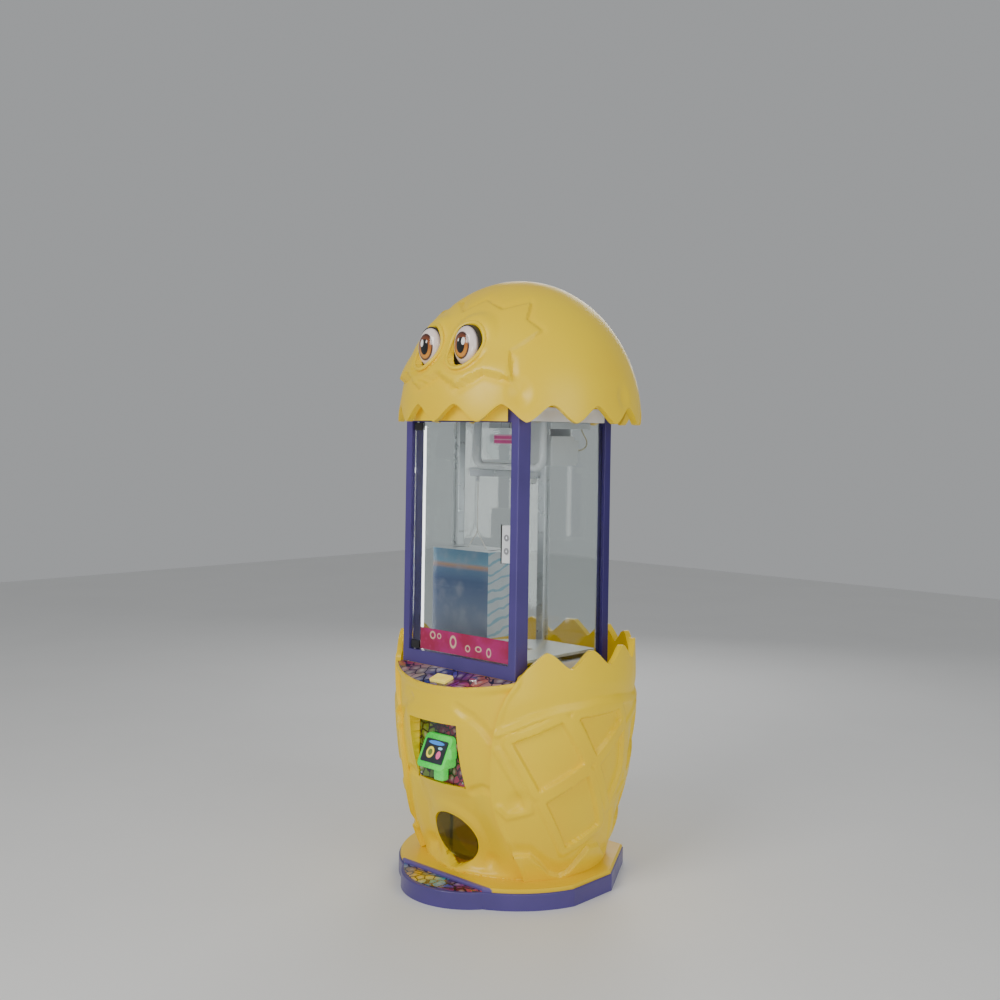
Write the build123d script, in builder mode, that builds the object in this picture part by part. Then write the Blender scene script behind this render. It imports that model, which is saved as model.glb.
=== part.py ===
from build123d import *
import os
from math import asin, cos, degrees, radians, sin, sqrt

# Egg-shaped hanging-prize arcade machine, in millimetres.
# +Z is up, the origin is on the floor on the egg's axis, the front faces -Y, and +X is the right-hand side
# of someone facing the machine. Angles around the egg are measured from the front towards +X.
os.makedirs("parts", exist_ok=True)

# ---------------------------------------------------------------- driving dimensions
egg_radius = 434.0
egg_middle = 700.0            # height of the egg's widest ring
egg_half_height = 960.0
shell_wall = 25.0
rim_peak = 843.0
rim_valley = 786.0
tooth_count = 16
dome_overlap = 48.0           # how far the dome hangs below the cabinet's top
dome_height = 508.0
dome_tooth = 62.0
part_gap = 0.6                # between fixed pieces that only meet
run_gap = 1.5                 # between a moving piece and the piece around it

plinth_radius = 408.0
plinth_side = 388.0
plinth_back = 330.0
plinth_height = 56.0
plinth_plate = 5.0
lobe_reach = 462.0            # how far the round front step stands out
lobe_half = 200.0
tray_height = 12.0

front_y = -304.0              # outer face of the door frame
cabinet_half = 268.0
cabinet_depth = 493.0
corner_cut = 222.0            # the rear left corner's chamfer, along each side
frame_bottom = 747.0
frame_top = 1640.0
stile = 31.0
bottom_rail = 45.0
frame_depth = 60.0
post_size = 34.0
rail_height = 30.0
glass_thickness = 6.0
floor_top = 800.0
floor_plate = 10.0
floor_gap = 2.0               # between the playfield floor and the posts
roof_bottom = frame_top
dome_bottom = frame_top - dome_overlap
roof_plate_thickness = 6.0

deck_radius = 422.0
deck_thickness = 8.0
deck_back = 746.0
deck_front = 712.0
play_size = (74.0, 46.0)
play_y = -374.0
round_button_radius = 15.0
round_button_place = (122.0, -345.0)

fascia_angle = 32.0
rear_angle = 150.0
recess_size = (220.0, 212.0)
recess_middle = 488.0
recess_y = -364.0
panel_thickness = 4.0
reader_size = (126.0, 62.0, 104.0)
screen_size = (100.0, 8.0, 78.0)
screen_tilt = 26.0

prize_radius = 96.0
prize_middle = 182.0
prize_y = -296.0
prize_tilt = 17.0
flap_thickness = 5.0

door_gap = 4.0
pivot_size = (40.0, 16.0, 26.0)
strip_height = 75.0
lock_box_size = (44.0, 88.0, 122.0)
lock_middle = 1190.0
lock_radius = 11.0
lock_spacing = 44.0

hoop_radius = 14.0
hoop_y = -125.0
hoop_left = -85.0
hoop_right = 215.0
bar_height = roof_bottom - 225.0
bar_size = (14.0, 22.0)
bar_left = -112.0
housing_bottom = roof_bottom - 65.0
housing_size = (288.0, 212.0, 22.0)
cutter_size = (126.0, 146.0, 88.0)
cutter_bottom = roof_bottom - 193.0
cable_diameter = 5.0

prize_box_size = (272.0, 170.0, 296.0)
prize_box_bottom = 850.0
prize_gap = 18.0              # between the hanging prize and the left post, room for its swing
string_radius = 1.5

eye_radii = (57.0, 34.0, 69.0)
eye_place = (86.0, -364.0, dome_bottom + 254.0)

door_angle = 20.0             # half the rear door's width around the egg
door_low = 170.0
door_high = 600.0
inlet_height = 120.0
inlet_size = (50.0, 28.0)

back_y = front_y + cabinet_depth
tooth_step = 360.0 / tooth_count


# ---------------------------------------------------------------- shared helpers
def keep(piece, name):
    """Label a finished piece and write it."""
    piece.part.label = name
    export_step(piece.part, f"parts/{name}.step")


def around(angle, radius=0.0, height=0.0):
    """Point at an angle around the egg."""
    return (radius * sin(radians(angle)), -radius * cos(radians(angle)), height)


def radial_plane(angle):
    """Vertical plane through the axis: local x outwards, local y up."""
    return Plane(origin=(0, 0, 0), x_dir=around(angle, 1), z_dir=around(angle - 90, 1))


def outward_plane(angle, radius, height=0.0):
    """Plane that faces outwards at an angle: local x around, local y up."""
    return Plane(origin=around(angle, radius, height), x_dir=around(angle + 90, 1), z_dir=around(angle, 1))


def egg_at(height):
    """Egg's outer radius at a height."""
    return egg_radius * sqrt(1 - ((height - egg_middle) / egg_half_height) ** 2)


def egg_wall(low, high, outer=0.0):
    """Closed profile of the egg's wall between two heights; outer moves its outside in."""
    low_angle = degrees(asin((low - egg_middle) / egg_half_height))
    high_angle = degrees(asin((high - egg_middle) / egg_half_height))
    sweep_size = high_angle - low_angle
    centre = (0, egg_middle)
    outside = EllipticalCenterArc(centre, egg_radius - outer, egg_half_height, low_angle, arc_size=sweep_size)
    inside = EllipticalCenterArc(centre, egg_radius - shell_wall, egg_half_height, low_angle, arc_size=sweep_size)
    Line(outside @ 0, inside @ 0)
    Line(outside @ 1, inside @ 1)


def wave_cutter(tip_height, base_height, angles, reach):
    """A radial V with a round tip at each angle, for cutting a scalloped edge."""
    half = 3.1416 * egg_radius / tooth_count
    tip_radius = 12.0
    with BuildPart() as cutter:
        for angle in angles:
            with BuildSketch(outward_plane(angle, reach)) as v_shape:
                with BuildLine():
                    Polyline((-half, base_height), (0, tip_height), (half, base_height), close=True)
                make_face()
                fillet(v_shape.vertices().sort_by(Axis.Y)[0], tip_radius)
            extrude(amount=egg_radius)
    return cutter.part


# ---------------------------------------------------------------- plinth and tray
plinth_side_y = sqrt(plinth_radius ** 2 - plinth_side ** 2)
plinth_corner = 74.0
plinth_back_half = 243.0
chord_y = -357.0
kick_half = 186.0
kick_reach = 446.0
kick_thickness = 2.0


def plinth_outline(inset=0.0):
    """Round front, straight sides, chamfered rear corners."""
    side = plinth_side - inset
    back = plinth_back - inset
    Polyline((side, -plinth_side_y), (side, plinth_corner), (plinth_back_half, back),
             (-plinth_back_half, back), (-side, plinth_corner), (-side, -plinth_side_y))
    ThreePointArc((-side, -plinth_side_y), (0, inset - plinth_radius), (side, -plinth_side_y))


def half_moon(half, back, reach):
    """Straight back edge and a round front."""
    Line((-half, back), (half, back))
    ThreePointArc((-half, back), (0, -reach), (half, back))


with BuildPart() as plinth:
    with BuildSketch():
        with BuildLine():
            plinth_outline()
        make_face()
        with BuildLine():
            half_moon(lobe_half, chord_y + 10, lobe_reach)
        make_face()
    extrude(amount=plinth_height)
    fillet(plinth.faces().sort_by(Axis.Z)[-1].edges(), 4)
    with BuildSketch(Plane.XY.offset(plinth_plate)):
        Rectangle(560, 400)
    extrude(amount=plinth_height - 2 * plinth_plate, mode=Mode.SUBTRACT)
keep(plinth, "plinth")

with BuildPart() as kick_panel:
    with BuildSketch(Plane.XY.offset(plinth_height)):
        with BuildLine():
            half_moon(kick_half, chord_y, kick_reach)
        make_face()
    extrude(amount=kick_thickness)
keep(kick_panel, "kick_panel")

tray_inset = 6.0
tray_top = plinth_height + tray_height
with BuildPart() as foot_tray:
    with BuildSketch(Plane.XY.offset(plinth_height)):
        with BuildLine():
            plinth_outline(tray_inset)
        make_face()
        with Locations((0, chord_y - 100 + part_gap)):
            Rectangle(900, 200, mode=Mode.SUBTRACT)
    extrude(amount=tray_height)
    chamfer(foot_tray.faces().sort_by(Axis.Z)[-1].edges(), 5)
keep(foot_tray, "foot_tray")

# ---------------------------------------------------------------- base frame inside the body
leg_size = 40.0
leg_places = ((-170, -110), (170, -110), (-150, 30), (170, 150))
deck_plate = 10.0
chute_half = 105.0
chute_front = -200.0
chute_back = -20.0
chute_wall = 3.0
chute_low = 84.0

with BuildPart() as base_frame:
    with BuildSketch(Plane.XY.offset(tray_top)):
        with Locations(*leg_places):
            Rectangle(leg_size, leg_size)
    extrude(amount=frame_bottom - deck_plate - tray_top)
    with BuildSketch(Plane.XY.offset(frame_bottom - deck_plate)):
        with BuildLine():
            Polyline((cabinet_half, front_y + frame_depth), (cabinet_half, back_y),
                     (corner_cut - cabinet_half, back_y), (-cabinet_half, back_y - corner_cut),
                     (-cabinet_half, front_y + frame_depth), close=True)
        make_face()
        with Locations((0, (chute_front + chute_back) / 2)):
            Rectangle(2 * chute_half + 2, chute_back - chute_front + 2, mode=Mode.SUBTRACT)
    extrude(amount=deck_plate)
keep(base_frame, "base_frame")

# ---------------------------------------------------------------- yellow body shells
deck_slope = degrees(asin((deck_back - deck_front) / (deck_radius + front_y)))
deck_plane = Plane(origin=(0, front_y, deck_back), x_dir=(1, 0, 0),
                   z_dir=(0, -sin(radians(deck_slope)), cos(radians(deck_slope))))
deck_lip = 6.0


def deck_room():
    """Space of the deck and everything above the lip in front of the cabinet."""
    with BuildPart() as room:
        with BuildSketch(deck_plane.offset(-deck_thickness - part_gap)):
            with Locations((0, -150)):
                Rectangle(900, 302)
        extrude(amount=deck_thickness + deck_lip + part_gap)
        with BuildSketch(Plane.XY.offset(frame_bottom - 200)):
            Circle(deck_radius + part_gap)
        extrude(amount=400, mode=Mode.INTERSECT)
        with BuildSketch(deck_plane.offset(deck_lip)):
            with Locations((0, -150)):
                Rectangle(900, 302)
        extrude(amount=200)
    return room.part


shell_low = tray_top
rear_gap = 0.15
with_waves = [tooth_step * k for k in range(2, 8)]

side_cutters = {"side_shell_right": wave_cutter(rim_valley, rim_peak + 20, with_waves, 300),
                "side_shell_left": wave_cutter(rim_valley, rim_peak + 20, [360 - a for a in with_waves], 300)}
rear_cutter = wave_cutter(rim_valley, rim_peak + 20, [tooth_step * k for k in (7, 8, 9)], 300)

front_room = deck_room()
for name, start in (("side_shell_right", fascia_angle), ("side_shell_left", 360 - rear_angle)):
    with BuildPart() as side_shell:
        with BuildSketch(radial_plane(start)):
            with BuildLine():
                egg_wall(shell_low, rim_peak)
            make_face()
        revolve(axis=Axis.Z, revolution_arc=rear_angle - fascia_angle)
        add(side_cutters[name], mode=Mode.SUBTRACT)
        add(front_room, mode=Mode.SUBTRACT)
    keep(side_shell, name)

door_width = 2 * egg_radius * sin(radians(door_angle))
door_tall = door_high - door_low
door_middle = (door_low + door_high) / 2

with BuildPart() as rear_shell:
    with BuildSketch(radial_plane(rear_angle + rear_gap)):
        with BuildLine():
            egg_wall(shell_low, rim_peak)
        make_face()
    revolve(axis=Axis.Z, revolution_arc=360 - 2 * rear_angle - 2 * rear_gap)
    add(rear_cutter, mode=Mode.SUBTRACT)
    with BuildSketch(outward_plane(180, 200, door_middle)):
        RectangleRounded(door_width + 2 * run_gap, door_tall + 2 * run_gap, 30)
    extrude(amount=300, mode=Mode.SUBTRACT)
    with BuildSketch(outward_plane(180, egg_at(inlet_height) - 4, inlet_height)):
        Rectangle(inlet_size[0] + 1, inlet_size[1] + 1)
    extrude(amount=60, mode=Mode.SUBTRACT)
keep(rear_shell, "rear_shell")

rear_lock_place = (118.0, 400.0)
rear_lock_radius = 9.0
with BuildPart() as rear_door:
    with BuildSketch(radial_plane(rear_angle)):
        with BuildLine():
            egg_wall(shell_low, rim_peak, outer=1.0)
        make_face()
    revolve(axis=Axis.Z, revolution_arc=360 - 2 * rear_angle)
    with BuildSketch(outward_plane(180, 200, door_middle)):
        RectangleRounded(door_width, door_tall, 30)
    extrude(amount=300, mode=Mode.INTERSECT)
    with BuildSketch(outward_plane(180, 200)):
        with Locations((-rear_lock_place[0], rear_lock_place[1])):
            Circle(rear_lock_radius + 0.08)
    extrude(amount=300, mode=Mode.SUBTRACT)
keep(rear_door, "rear_door")

rear_lock_y = sqrt(egg_at(rear_lock_place[1]) ** 2 - rear_lock_place[0] ** 2)
cam_size = (14.0, 36.0, 4.0)
with BuildPart() as rear_lock:
    with BuildSketch(Plane(origin=(rear_lock_place[0], rear_lock_y - 48, rear_lock_place[1]),
                           x_dir=(-1, 0, 0), z_dir=(0, 1, 0))):
        Circle(rear_lock_radius)
    extrude(amount=52)
    with BuildSketch(Plane(origin=(rear_lock_place[0], rear_lock_y - 48, rear_lock_place[1]),
                           x_dir=(-1, 0, 0), z_dir=(0, 1, 0))):
        with Locations((0, cam_size[1] / 2 - cam_size[0] / 2)):
            RectangleRounded(cam_size[0], cam_size[1], cam_size[0] / 2 - 0.5)
    extrude(amount=-cam_size[2])
keep(rear_lock, "rear_lock_barrel")

# ---------------------------------------------------------------- front fascia, reader and prize door
fascia_wall = 22.0
fascia_line = ((422, 746), (425, 620), (417, 540), (398, 450), (364, 350), (318, 240), (289, 165), (262, 92))


def fascia_profile():
    """Undercut front wall: wide at the deck, narrow at the foot."""
    outside = Spline(*fascia_line)
    inside = Spline(*[(r - fascia_wall, z) for r, z in fascia_line])
    Line(outside @ 0, inside @ 0)
    Line(outside @ 1, inside @ 1)


prize_plane = Plane(origin=(0, prize_y, prize_middle), x_dir=(1, 0, 0),
                    z_dir=(0, -cos(radians(prize_tilt)), -sin(radians(prize_tilt))))
recess_plane = Plane(origin=(0, recess_y, recess_middle), x_dir=(1, 0, 0), z_dir=(0, -1, 0))

with BuildPart() as front_fascia:
    with BuildSketch(radial_plane(-fascia_angle + rear_gap)):
        with BuildLine():
            fascia_profile()
        make_face()
    revolve(axis=Axis.Z, revolution_arc=2 * (fascia_angle - rear_gap))
    with BuildSketch(recess_plane.offset(-40)):
        RectangleRounded(recess_size[0] + 2, recess_size[1] + 2, 14)
    extrude(amount=150, mode=Mode.SUBTRACT)
    add(front_room, mode=Mode.SUBTRACT)
    with BuildSketch(prize_plane.offset(-80)):
        Circle(prize_radius)
    extrude(amount=160, mode=Mode.SUBTRACT)
keep(front_fascia, "front_fascia")

with BuildPart() as reader_panel:
    with BuildSketch(recess_plane.offset(-panel_thickness)):
        RectangleRounded(recess_size[0], recess_size[1], 13)
    extrude(amount=panel_thickness)
keep(reader_panel, "reader_panel")

reader_front = recess_y - reader_size[1]
with BuildPart() as card_reader:
    with BuildSketch(Plane(origin=(-reader_size[0] / 2, 0, 0), x_dir=(0, 1, 0), z_dir=(1, 0, 0))):
        with BuildLine():
            top_z = recess_middle + reader_size[2] / 2
            low_z = recess_middle - reader_size[2] / 2
            lean = reader_size[2] * sin(radians(screen_tilt)) / cos(radians(screen_tilt))
            Polyline((recess_y, top_z), (reader_front + lean, top_z), (reader_front, low_z),
                     (recess_y, low_z), close=True)
        make_face()
    extrude(amount=reader_size[0])
    fillet(card_reader.edges().filter_by(Axis.Y), 16)
keep(card_reader, "card_reader")

screen_plane = Plane(origin=(0, reader_front + lean / 2, recess_middle), x_dir=(1, 0, 0),
                     z_dir=(0, -cos(radians(screen_tilt)), sin(radians(screen_tilt))))
with BuildPart() as reader_screen:
    with BuildSketch(screen_plane):
        RectangleRounded(screen_size[0], screen_size[2], 5)
    extrude(amount=screen_size[1] / 2)
keep(reader_screen, "reader_screen")

flap_plane = prize_plane.offset(-12)
hinge_drop = 86.0
pin_radius = 3.0
pin_half = 34.0
flap_clear = 2.0
with BuildPart() as prize_flap:
    with BuildSketch(flap_plane):
        Circle(prize_radius - flap_clear)
        with Locations((0, hinge_drop)):
            Rectangle(90, 10, mode=Mode.SUBTRACT)
        with Locations((0, hinge_drop + 8)):
            Rectangle(90, 10, mode=Mode.SUBTRACT)
    extrude(amount=flap_thickness)
    with BuildSketch(Plane(origin=flap_plane.from_local_coords((-pin_half + 6, hinge_drop - 2, flap_thickness / 2)),
                           x_dir=(0, 1, 0), z_dir=(1, 0, 0))):
        Circle(pin_radius + 3.5)
    extrude(amount=2 * pin_half - 12)
    with BuildSketch(Plane(origin=flap_plane.from_local_coords((-pin_half, hinge_drop - 2, flap_thickness / 2)),
                           x_dir=(0, 1, 0), z_dir=(1, 0, 0))):
        Circle(pin_radius + 0.06)
    extrude(amount=2 * pin_half, mode=Mode.SUBTRACT)
keep(prize_flap, "prize_flap")

with BuildPart() as flap_pin:
    with BuildSketch(Plane(origin=flap_plane.from_local_coords((-pin_half - 6, hinge_drop - 2, flap_thickness / 2)),
                           x_dir=(0, 1, 0), z_dir=(1, 0, 0))):
        Circle(pin_radius)
    extrude(amount=2 * pin_half + 12)
keep(flap_pin, "flap_pin")

with BuildPart() as prize_chute:
    with BuildSketch(Plane.XY.offset(chute_low)):
        with Locations((0, (chute_front + chute_back) / 2)):
            Rectangle(2 * chute_half, chute_back - chute_front)
    extrude(amount=floor_top - floor_plate - chute_low)
    with BuildSketch(Plane.XY.offset(chute_low + chute_wall)):
        with Locations((0, (chute_front + chute_back) / 2)):
            Rectangle(2 * (chute_half - chute_wall), chute_back - chute_front - 2 * chute_wall)
    extrude(amount=800, mode=Mode.SUBTRACT)
    with BuildSketch(Plane(origin=(0, chute_front, prize_middle + 16), x_dir=(1, 0, 0), z_dir=(0, -1, 0))):
        Circle(chute_half - chute_wall - 2)
    extrude(amount=20, both=True, mode=Mode.SUBTRACT)
keep(prize_chute, "prize_chute")

# ---------------------------------------------------------------- control deck and buttons
button_cap = 9.0


def deck_place(x, y):
    """A point given from above, as a location on the sloping deck."""
    return (x, (y - front_y) / cos(radians(deck_slope)))


with BuildPart() as control_deck:
    with BuildSketch(Plane.XY.offset(deck_front - 60)):
        with BuildLine():
            half_moon(sqrt(deck_radius ** 2 - front_y ** 2), front_y, deck_radius)
        make_face()
    extrude(amount=120)
    with BuildSketch(deck_plane.offset(-deck_thickness)):
        Rectangle(900, 400)
    extrude(amount=deck_thickness, mode=Mode.INTERSECT)
    with BuildSketch(deck_plane):
        with Locations(deck_place(0, play_y)):
            RectangleRounded(play_size[0] + 2 * part_gap, play_size[1] + 2 * part_gap, 6)
        with Locations(deck_place(*round_button_place)):
            Circle(round_button_radius + part_gap)
    extrude(amount=-30, mode=Mode.SUBTRACT)
keep(control_deck, "control_deck")

with BuildPart() as play_button:
    with BuildSketch(deck_plane.offset(-deck_thickness)):
        with Locations(deck_place(0, play_y)):
            RectangleRounded(play_size[0], play_size[1], 5.5)
    extrude(amount=deck_thickness + button_cap)
    fillet(play_button.faces().sort_by(Axis.Z)[-1].edges(), 2.5)
keep(play_button, "play_button")

with BuildPart() as round_button:
    with BuildSketch(deck_plane.offset(-deck_thickness)):
        with Locations(deck_place(*round_button_place)):
            Circle(round_button_radius)
    extrude(amount=deck_thickness + button_cap)
    fillet(round_button.faces().sort_by(Axis.Z)[-1].edges(), 3)
keep(round_button, "round_button")

# ---------------------------------------------------------------- glass cabinet
opening_half = cabinet_half - stile
opening_low = frame_bottom + bottom_rail
opening_high = dome_bottom + 1
post_line = cabinet_half - post_size / 2
rear_line = back_y - post_size / 2
corner_x = corner_cut - cabinet_half + post_size / 2
corner_y = back_y - corner_cut - post_size / 2
posts = {"post_rear_right": (post_line, rear_line), "post_rear_left": (corner_x, rear_line),
         "post_left": (-post_line, corner_y)}
half_post = post_size / 2
diagonal = half_post * 1.36
spans = {
    "right": ((post_line, front_y + frame_depth), (post_line, rear_line - half_post)),
    "rear": ((post_line - half_post, rear_line), (corner_x + half_post, rear_line)),
    "corner": ((corner_x - diagonal / 1.4142, rear_line - diagonal / 1.4142),
               (-post_line + diagonal / 1.4142, corner_y + diagonal / 1.4142)),
    "left": ((-post_line, corner_y - half_post), (-post_line, front_y + frame_depth)),
}


def span_plane(ends, height):
    """Level plane at the middle of a span, local x along it."""
    (x0, y0), (x1, y1) = ends
    return Plane(origin=((x0 + x1) / 2, (y0 + y1) / 2, height), x_dir=(x1 - x0, y1 - y0, 0), z_dir=(0, 0, 1))


def span_length(ends):
    (x0, y0), (x1, y1) = ends
    return sqrt((x1 - x0) ** 2 + (y1 - y0) ** 2)


with BuildPart() as front_frame:
    with BuildSketch(Plane(origin=(0, front_y, 0), x_dir=(1, 0, 0), z_dir=(0, -1, 0))):
        with Locations((0, (frame_bottom + frame_top) / 2)):
            Rectangle(2 * cabinet_half, frame_top - frame_bottom)
        with Locations((0, (opening_low + opening_high) / 2)):
            Rectangle(2 * opening_half, opening_high - opening_low, mode=Mode.SUBTRACT)
    extrude(amount=-frame_depth)
    fillet(front_frame.edges().filter_by(Axis.Z).group_by(Axis.Y)[0].sort_by(Axis.X)[0], 4)
    fillet(front_frame.edges().filter_by(Axis.Z).group_by(Axis.Y)[0].sort_by(Axis.X)[-1], 4)
keep(front_frame, "front_frame")

for name, place in posts.items():
    with BuildPart() as post:
        with BuildSketch(Plane.XY.offset(frame_bottom)):
            with Locations(place):
                RectangleRounded(post_size, post_size, 3)
                Rectangle(post_size - 5, post_size - 5, mode=Mode.SUBTRACT)
        extrude(amount=frame_top - frame_bottom)
    keep(post, name)

glass_low = frame_bottom + rail_height
top_rail_low = dome_bottom + 6
with BuildPart() as bottom_rails:
    for ends in spans.values():
        with BuildSketch(span_plane(ends, frame_bottom)):
            Rectangle(span_length(ends), 24)
        extrude(amount=rail_height)
        with BuildSketch(span_plane(ends, glass_low)):
            Rectangle(span_length(ends), glass_thickness)
        extrude(amount=-10, mode=Mode.SUBTRACT)
keep(bottom_rails, "bottom_rails")

for name, ends in spans.items():
    with BuildPart() as pane:
        with BuildSketch(span_plane(ends, glass_low - 10)):
            Rectangle(span_length(ends), glass_thickness)
        extrude(amount=top_rail_low - glass_low + 10)
    keep(pane, f"glass_{name}")

with BuildPart() as top_rails:
    for ends in spans.values():
        with BuildSketch(span_plane(ends, top_rail_low)):
            Rectangle(span_length(ends), 24)
        extrude(amount=frame_top - top_rail_low)
keep(top_rails, "top_rails")


def cabinet_plan(inset, front):
    """The cabinet's five-cornered plan, inside its posts by an inset."""
    half = cabinet_half - inset
    back = back_y - inset
    cut = corner_cut + 0.59 * inset
    Polyline((half, front), (half, back), (cut - half - 1.6 * inset + inset, back),
             (-half, back - cut + 0.6 * inset), (-half, front), close=True)


with BuildPart() as playfield_floor:
    with BuildSketch(Plane.XY.offset(floor_top - floor_plate)):
        with BuildLine():
            cabinet_plan(post_size + floor_gap, front_y + frame_depth)
        make_face()
        with Locations((0, (chute_front + chute_back) / 2)):
            Rectangle(2 * (chute_half - chute_wall), chute_back - chute_front - 2 * chute_wall,
                      mode=Mode.SUBTRACT)
    extrude(amount=floor_plate)
keep(playfield_floor, "playfield_floor")

with BuildPart() as roof_plate:
    with BuildSketch(Plane.XY.offset(roof_bottom)):
        with BuildLine():
            cabinet_plan(0, front_y)
        make_face()
    extrude(amount=roof_plate_thickness)
keep(roof_plate, "roof_plate")

# ---------------------------------------------------------------- glass door and its lock
door_half = opening_half - door_gap
door_low_edge = opening_low + door_gap
door_high_edge = opening_high - door_gap
door_plane = Plane(origin=(0, front_y + 18, 0), x_dir=(1, 0, 0), z_dir=(0, -1, 0))
notch_left = opening_half - lock_box_size[0] - 2 * door_gap
pivot_x = -door_half + 11
pivot_radius = 4.0
with BuildPart() as glass_door:
    with BuildSketch(door_plane):
        with Locations((0, (door_low_edge + door_high_edge) / 2)):
            Rectangle(2 * door_half, door_high_edge - door_low_edge)
        with Locations((notch_left + 50, lock_middle)):
            Rectangle(100, lock_box_size[2] + 2 * door_gap, mode=Mode.SUBTRACT)
        for height in (door_low_edge + pivot_size[2] / 2, door_high_edge - pivot_size[2] / 2):
            with Locations((-door_half + pivot_size[0] / 2, height)):
                Rectangle(pivot_size[0], pivot_size[2], mode=Mode.SUBTRACT)
    extrude(amount=glass_thickness)
keep(glass_door, "glass_door")

with BuildPart() as door_pivots:
    for height in (door_low_edge + pivot_size[2] / 2, door_high_edge - pivot_size[2] / 2):
        with BuildSketch(door_plane.offset(-(pivot_size[1] - glass_thickness) / 2)):
            with Locations((-door_half + pivot_size[0] / 2, height)):
                RectangleRounded(pivot_size[0] - 0.4, pivot_size[2], 2)
        extrude(amount=pivot_size[1])
    pivot_y = front_y + 18 - glass_thickness / 2
    with BuildSketch(Plane.XY.offset(door_low_edge)):
        with Locations((pivot_x, pivot_y)):
            Circle(pivot_radius + 0.06)
    extrude(amount=12, mode=Mode.SUBTRACT)
    with BuildSketch(Plane.XY.offset(door_high_edge)):
        with Locations((pivot_x, pivot_y)):
            Circle(pivot_radius + 0.06)
    extrude(amount=-12, mode=Mode.SUBTRACT)
keep(door_pivots, "door_pivots")

with BuildPart() as pivot_pins:
    for height, reach in ((opening_low, 14), (opening_high, -14)):
        with BuildSketch(Plane.XY.offset(height)):
            with Locations((pivot_x, pivot_y)):
                Circle(pivot_radius)
        extrude(amount=reach)
keep(pivot_pins, "pivot_pins")

with BuildPart() as instruction_strip:
    with BuildSketch(door_plane.offset(glass_thickness)):
        with Locations(((pivot_size[0] + 2) / 2, door_low_edge + strip_height / 2 + 1)):
            Rectangle(2 * door_half - pivot_size[0] - 4, strip_height)
    extrude(amount=1)
keep(instruction_strip, "instruction_strip")

lock_x = opening_half - part_gap - lock_box_size[0] / 2
lock_plane = Plane(origin=(lock_x, front_y + 10, lock_middle), x_dir=(1, 0, 0), z_dir=(0, -1, 0))
lock_names = {"lock_barrel_upper": lock_spacing / 2, "lock_barrel_lower": -lock_spacing / 2}
with BuildPart() as lock_box:
    with BuildSketch(lock_plane):
        RectangleRounded(lock_box_size[0], lock_box_size[2], 3)
    extrude(amount=-lock_box_size[1])
    with BuildSketch(lock_plane.offset(-lock_box_size[1] - 1)):
        Rectangle(lock_box_size[0] - 6, lock_box_size[2] - 6)
    extrude(amount=lock_box_size[1] - 5, mode=Mode.SUBTRACT)
    with BuildSketch(lock_plane):
        for height in lock_names.values():
            with Locations((0, height)):
                Circle(lock_radius + 0.08)
    extrude(amount=-20, mode=Mode.SUBTRACT)
keep(lock_box, "lock_box")

for name, height in lock_names.items():
    with BuildPart() as barrel:
        with BuildSketch(lock_plane.offset(3)):
            with Locations((0, height)):
                Circle(lock_radius)
        extrude(amount=-26)
        with BuildSketch(lock_plane.offset(3)):
            with Locations((0, height)):
                Rectangle(2.4, 9)
        extrude(amount=-4, mode=Mode.SUBTRACT)
        with BuildSketch(lock_plane.offset(-19)):
            with Locations((0, height + 4)):
                Rectangle(8, 22)
        extrude(amount=-4)
    keep(barrel, name)

# ---------------------------------------------------------------- prize rig under the roof
rig_middle = (hoop_left + hoop_right) / 2
housing_right = 230.0
housing_front = -98.0
bar_low = bar_height - bar_size[1] / 2
hoop_turn = 34.0
hoop_low = bar_height + bar_size[1] / 2 + hoop_radius

with BuildPart() as top_housing:
    with BuildSketch(Plane.XY.offset(housing_bottom)):
        with Locations((housing_right - housing_size[0] / 2, housing_front + housing_size[1] / 2)):
            RectangleRounded(housing_size[0], housing_size[1], 3)
    extrude(amount=housing_size[2])
    with BuildSketch(Plane.XY.offset(housing_bottom + 2)):
        with Locations((housing_right - housing_size[0] / 2, housing_front + housing_size[1] / 2)):
            Rectangle(housing_size[0] - 4, housing_size[1] - 4)
    extrude(amount=housing_size[2], mode=Mode.SUBTRACT)
keep(top_housing, "top_housing")

with BuildPart() as hoop_tube:
    with BuildLine(Plane.XZ.offset(-hoop_y)) as hoop_path:
        FilletPolyline((hoop_left, roof_bottom), (hoop_left, hoop_low), (hoop_right, hoop_low),
                       (hoop_right, roof_bottom), radius=hoop_turn)
    with BuildSketch(Plane(origin=(hoop_left, hoop_y, roof_bottom), z_dir=(0, 0, -1))):
        Circle(hoop_radius)
        Circle(hoop_radius - 2, mode=Mode.SUBTRACT)
    sweep(path=hoop_path.line)
keep(hoop_tube, "hoop_tube")

slot_width = 4.0
bar_right = hoop_right - 14
with BuildPart() as hanging_bar:
    with BuildSketch(Plane(origin=(bar_left, hoop_y, bar_height), x_dir=(0, 1, 0), z_dir=(1, 0, 0))):
        Rectangle(bar_size[0] + 6, bar_size[1])
        with Locations((0, -bar_size[1] / 2 + 5)):
            Rectangle(slot_width, 10, mode=Mode.SUBTRACT)
            Rectangle(slot_width + 6, 4, mode=Mode.SUBTRACT)
    extrude(amount=bar_right - bar_left)
keep(hanging_bar, "hanging_bar")

guard_size = (180.0, 118.0)
guard_y = hoop_y - hoop_radius - 4
with BuildPart() as acrylic_guard:
    with BuildSketch(Plane(origin=(rig_middle, guard_y, roof_bottom - guard_size[1] / 2 - 64),
                           x_dir=(1, 0, 0), z_dir=(0, -1, 0))) as guard_face:
        Rectangle(*guard_size)
        chamfer(guard_face.vertices().group_by(Axis.Z)[0], 40)
    extrude(amount=3)
    with BuildSketch(Plane(origin=(rig_middle, guard_y, roof_bottom - 36),
                           x_dir=(1, 0, 0), z_dir=(0, -1, 0))):
        Rectangle(40, 72)
    extrude(amount=3)
keep(acrylic_guard, "acrylic_guard")

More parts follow.
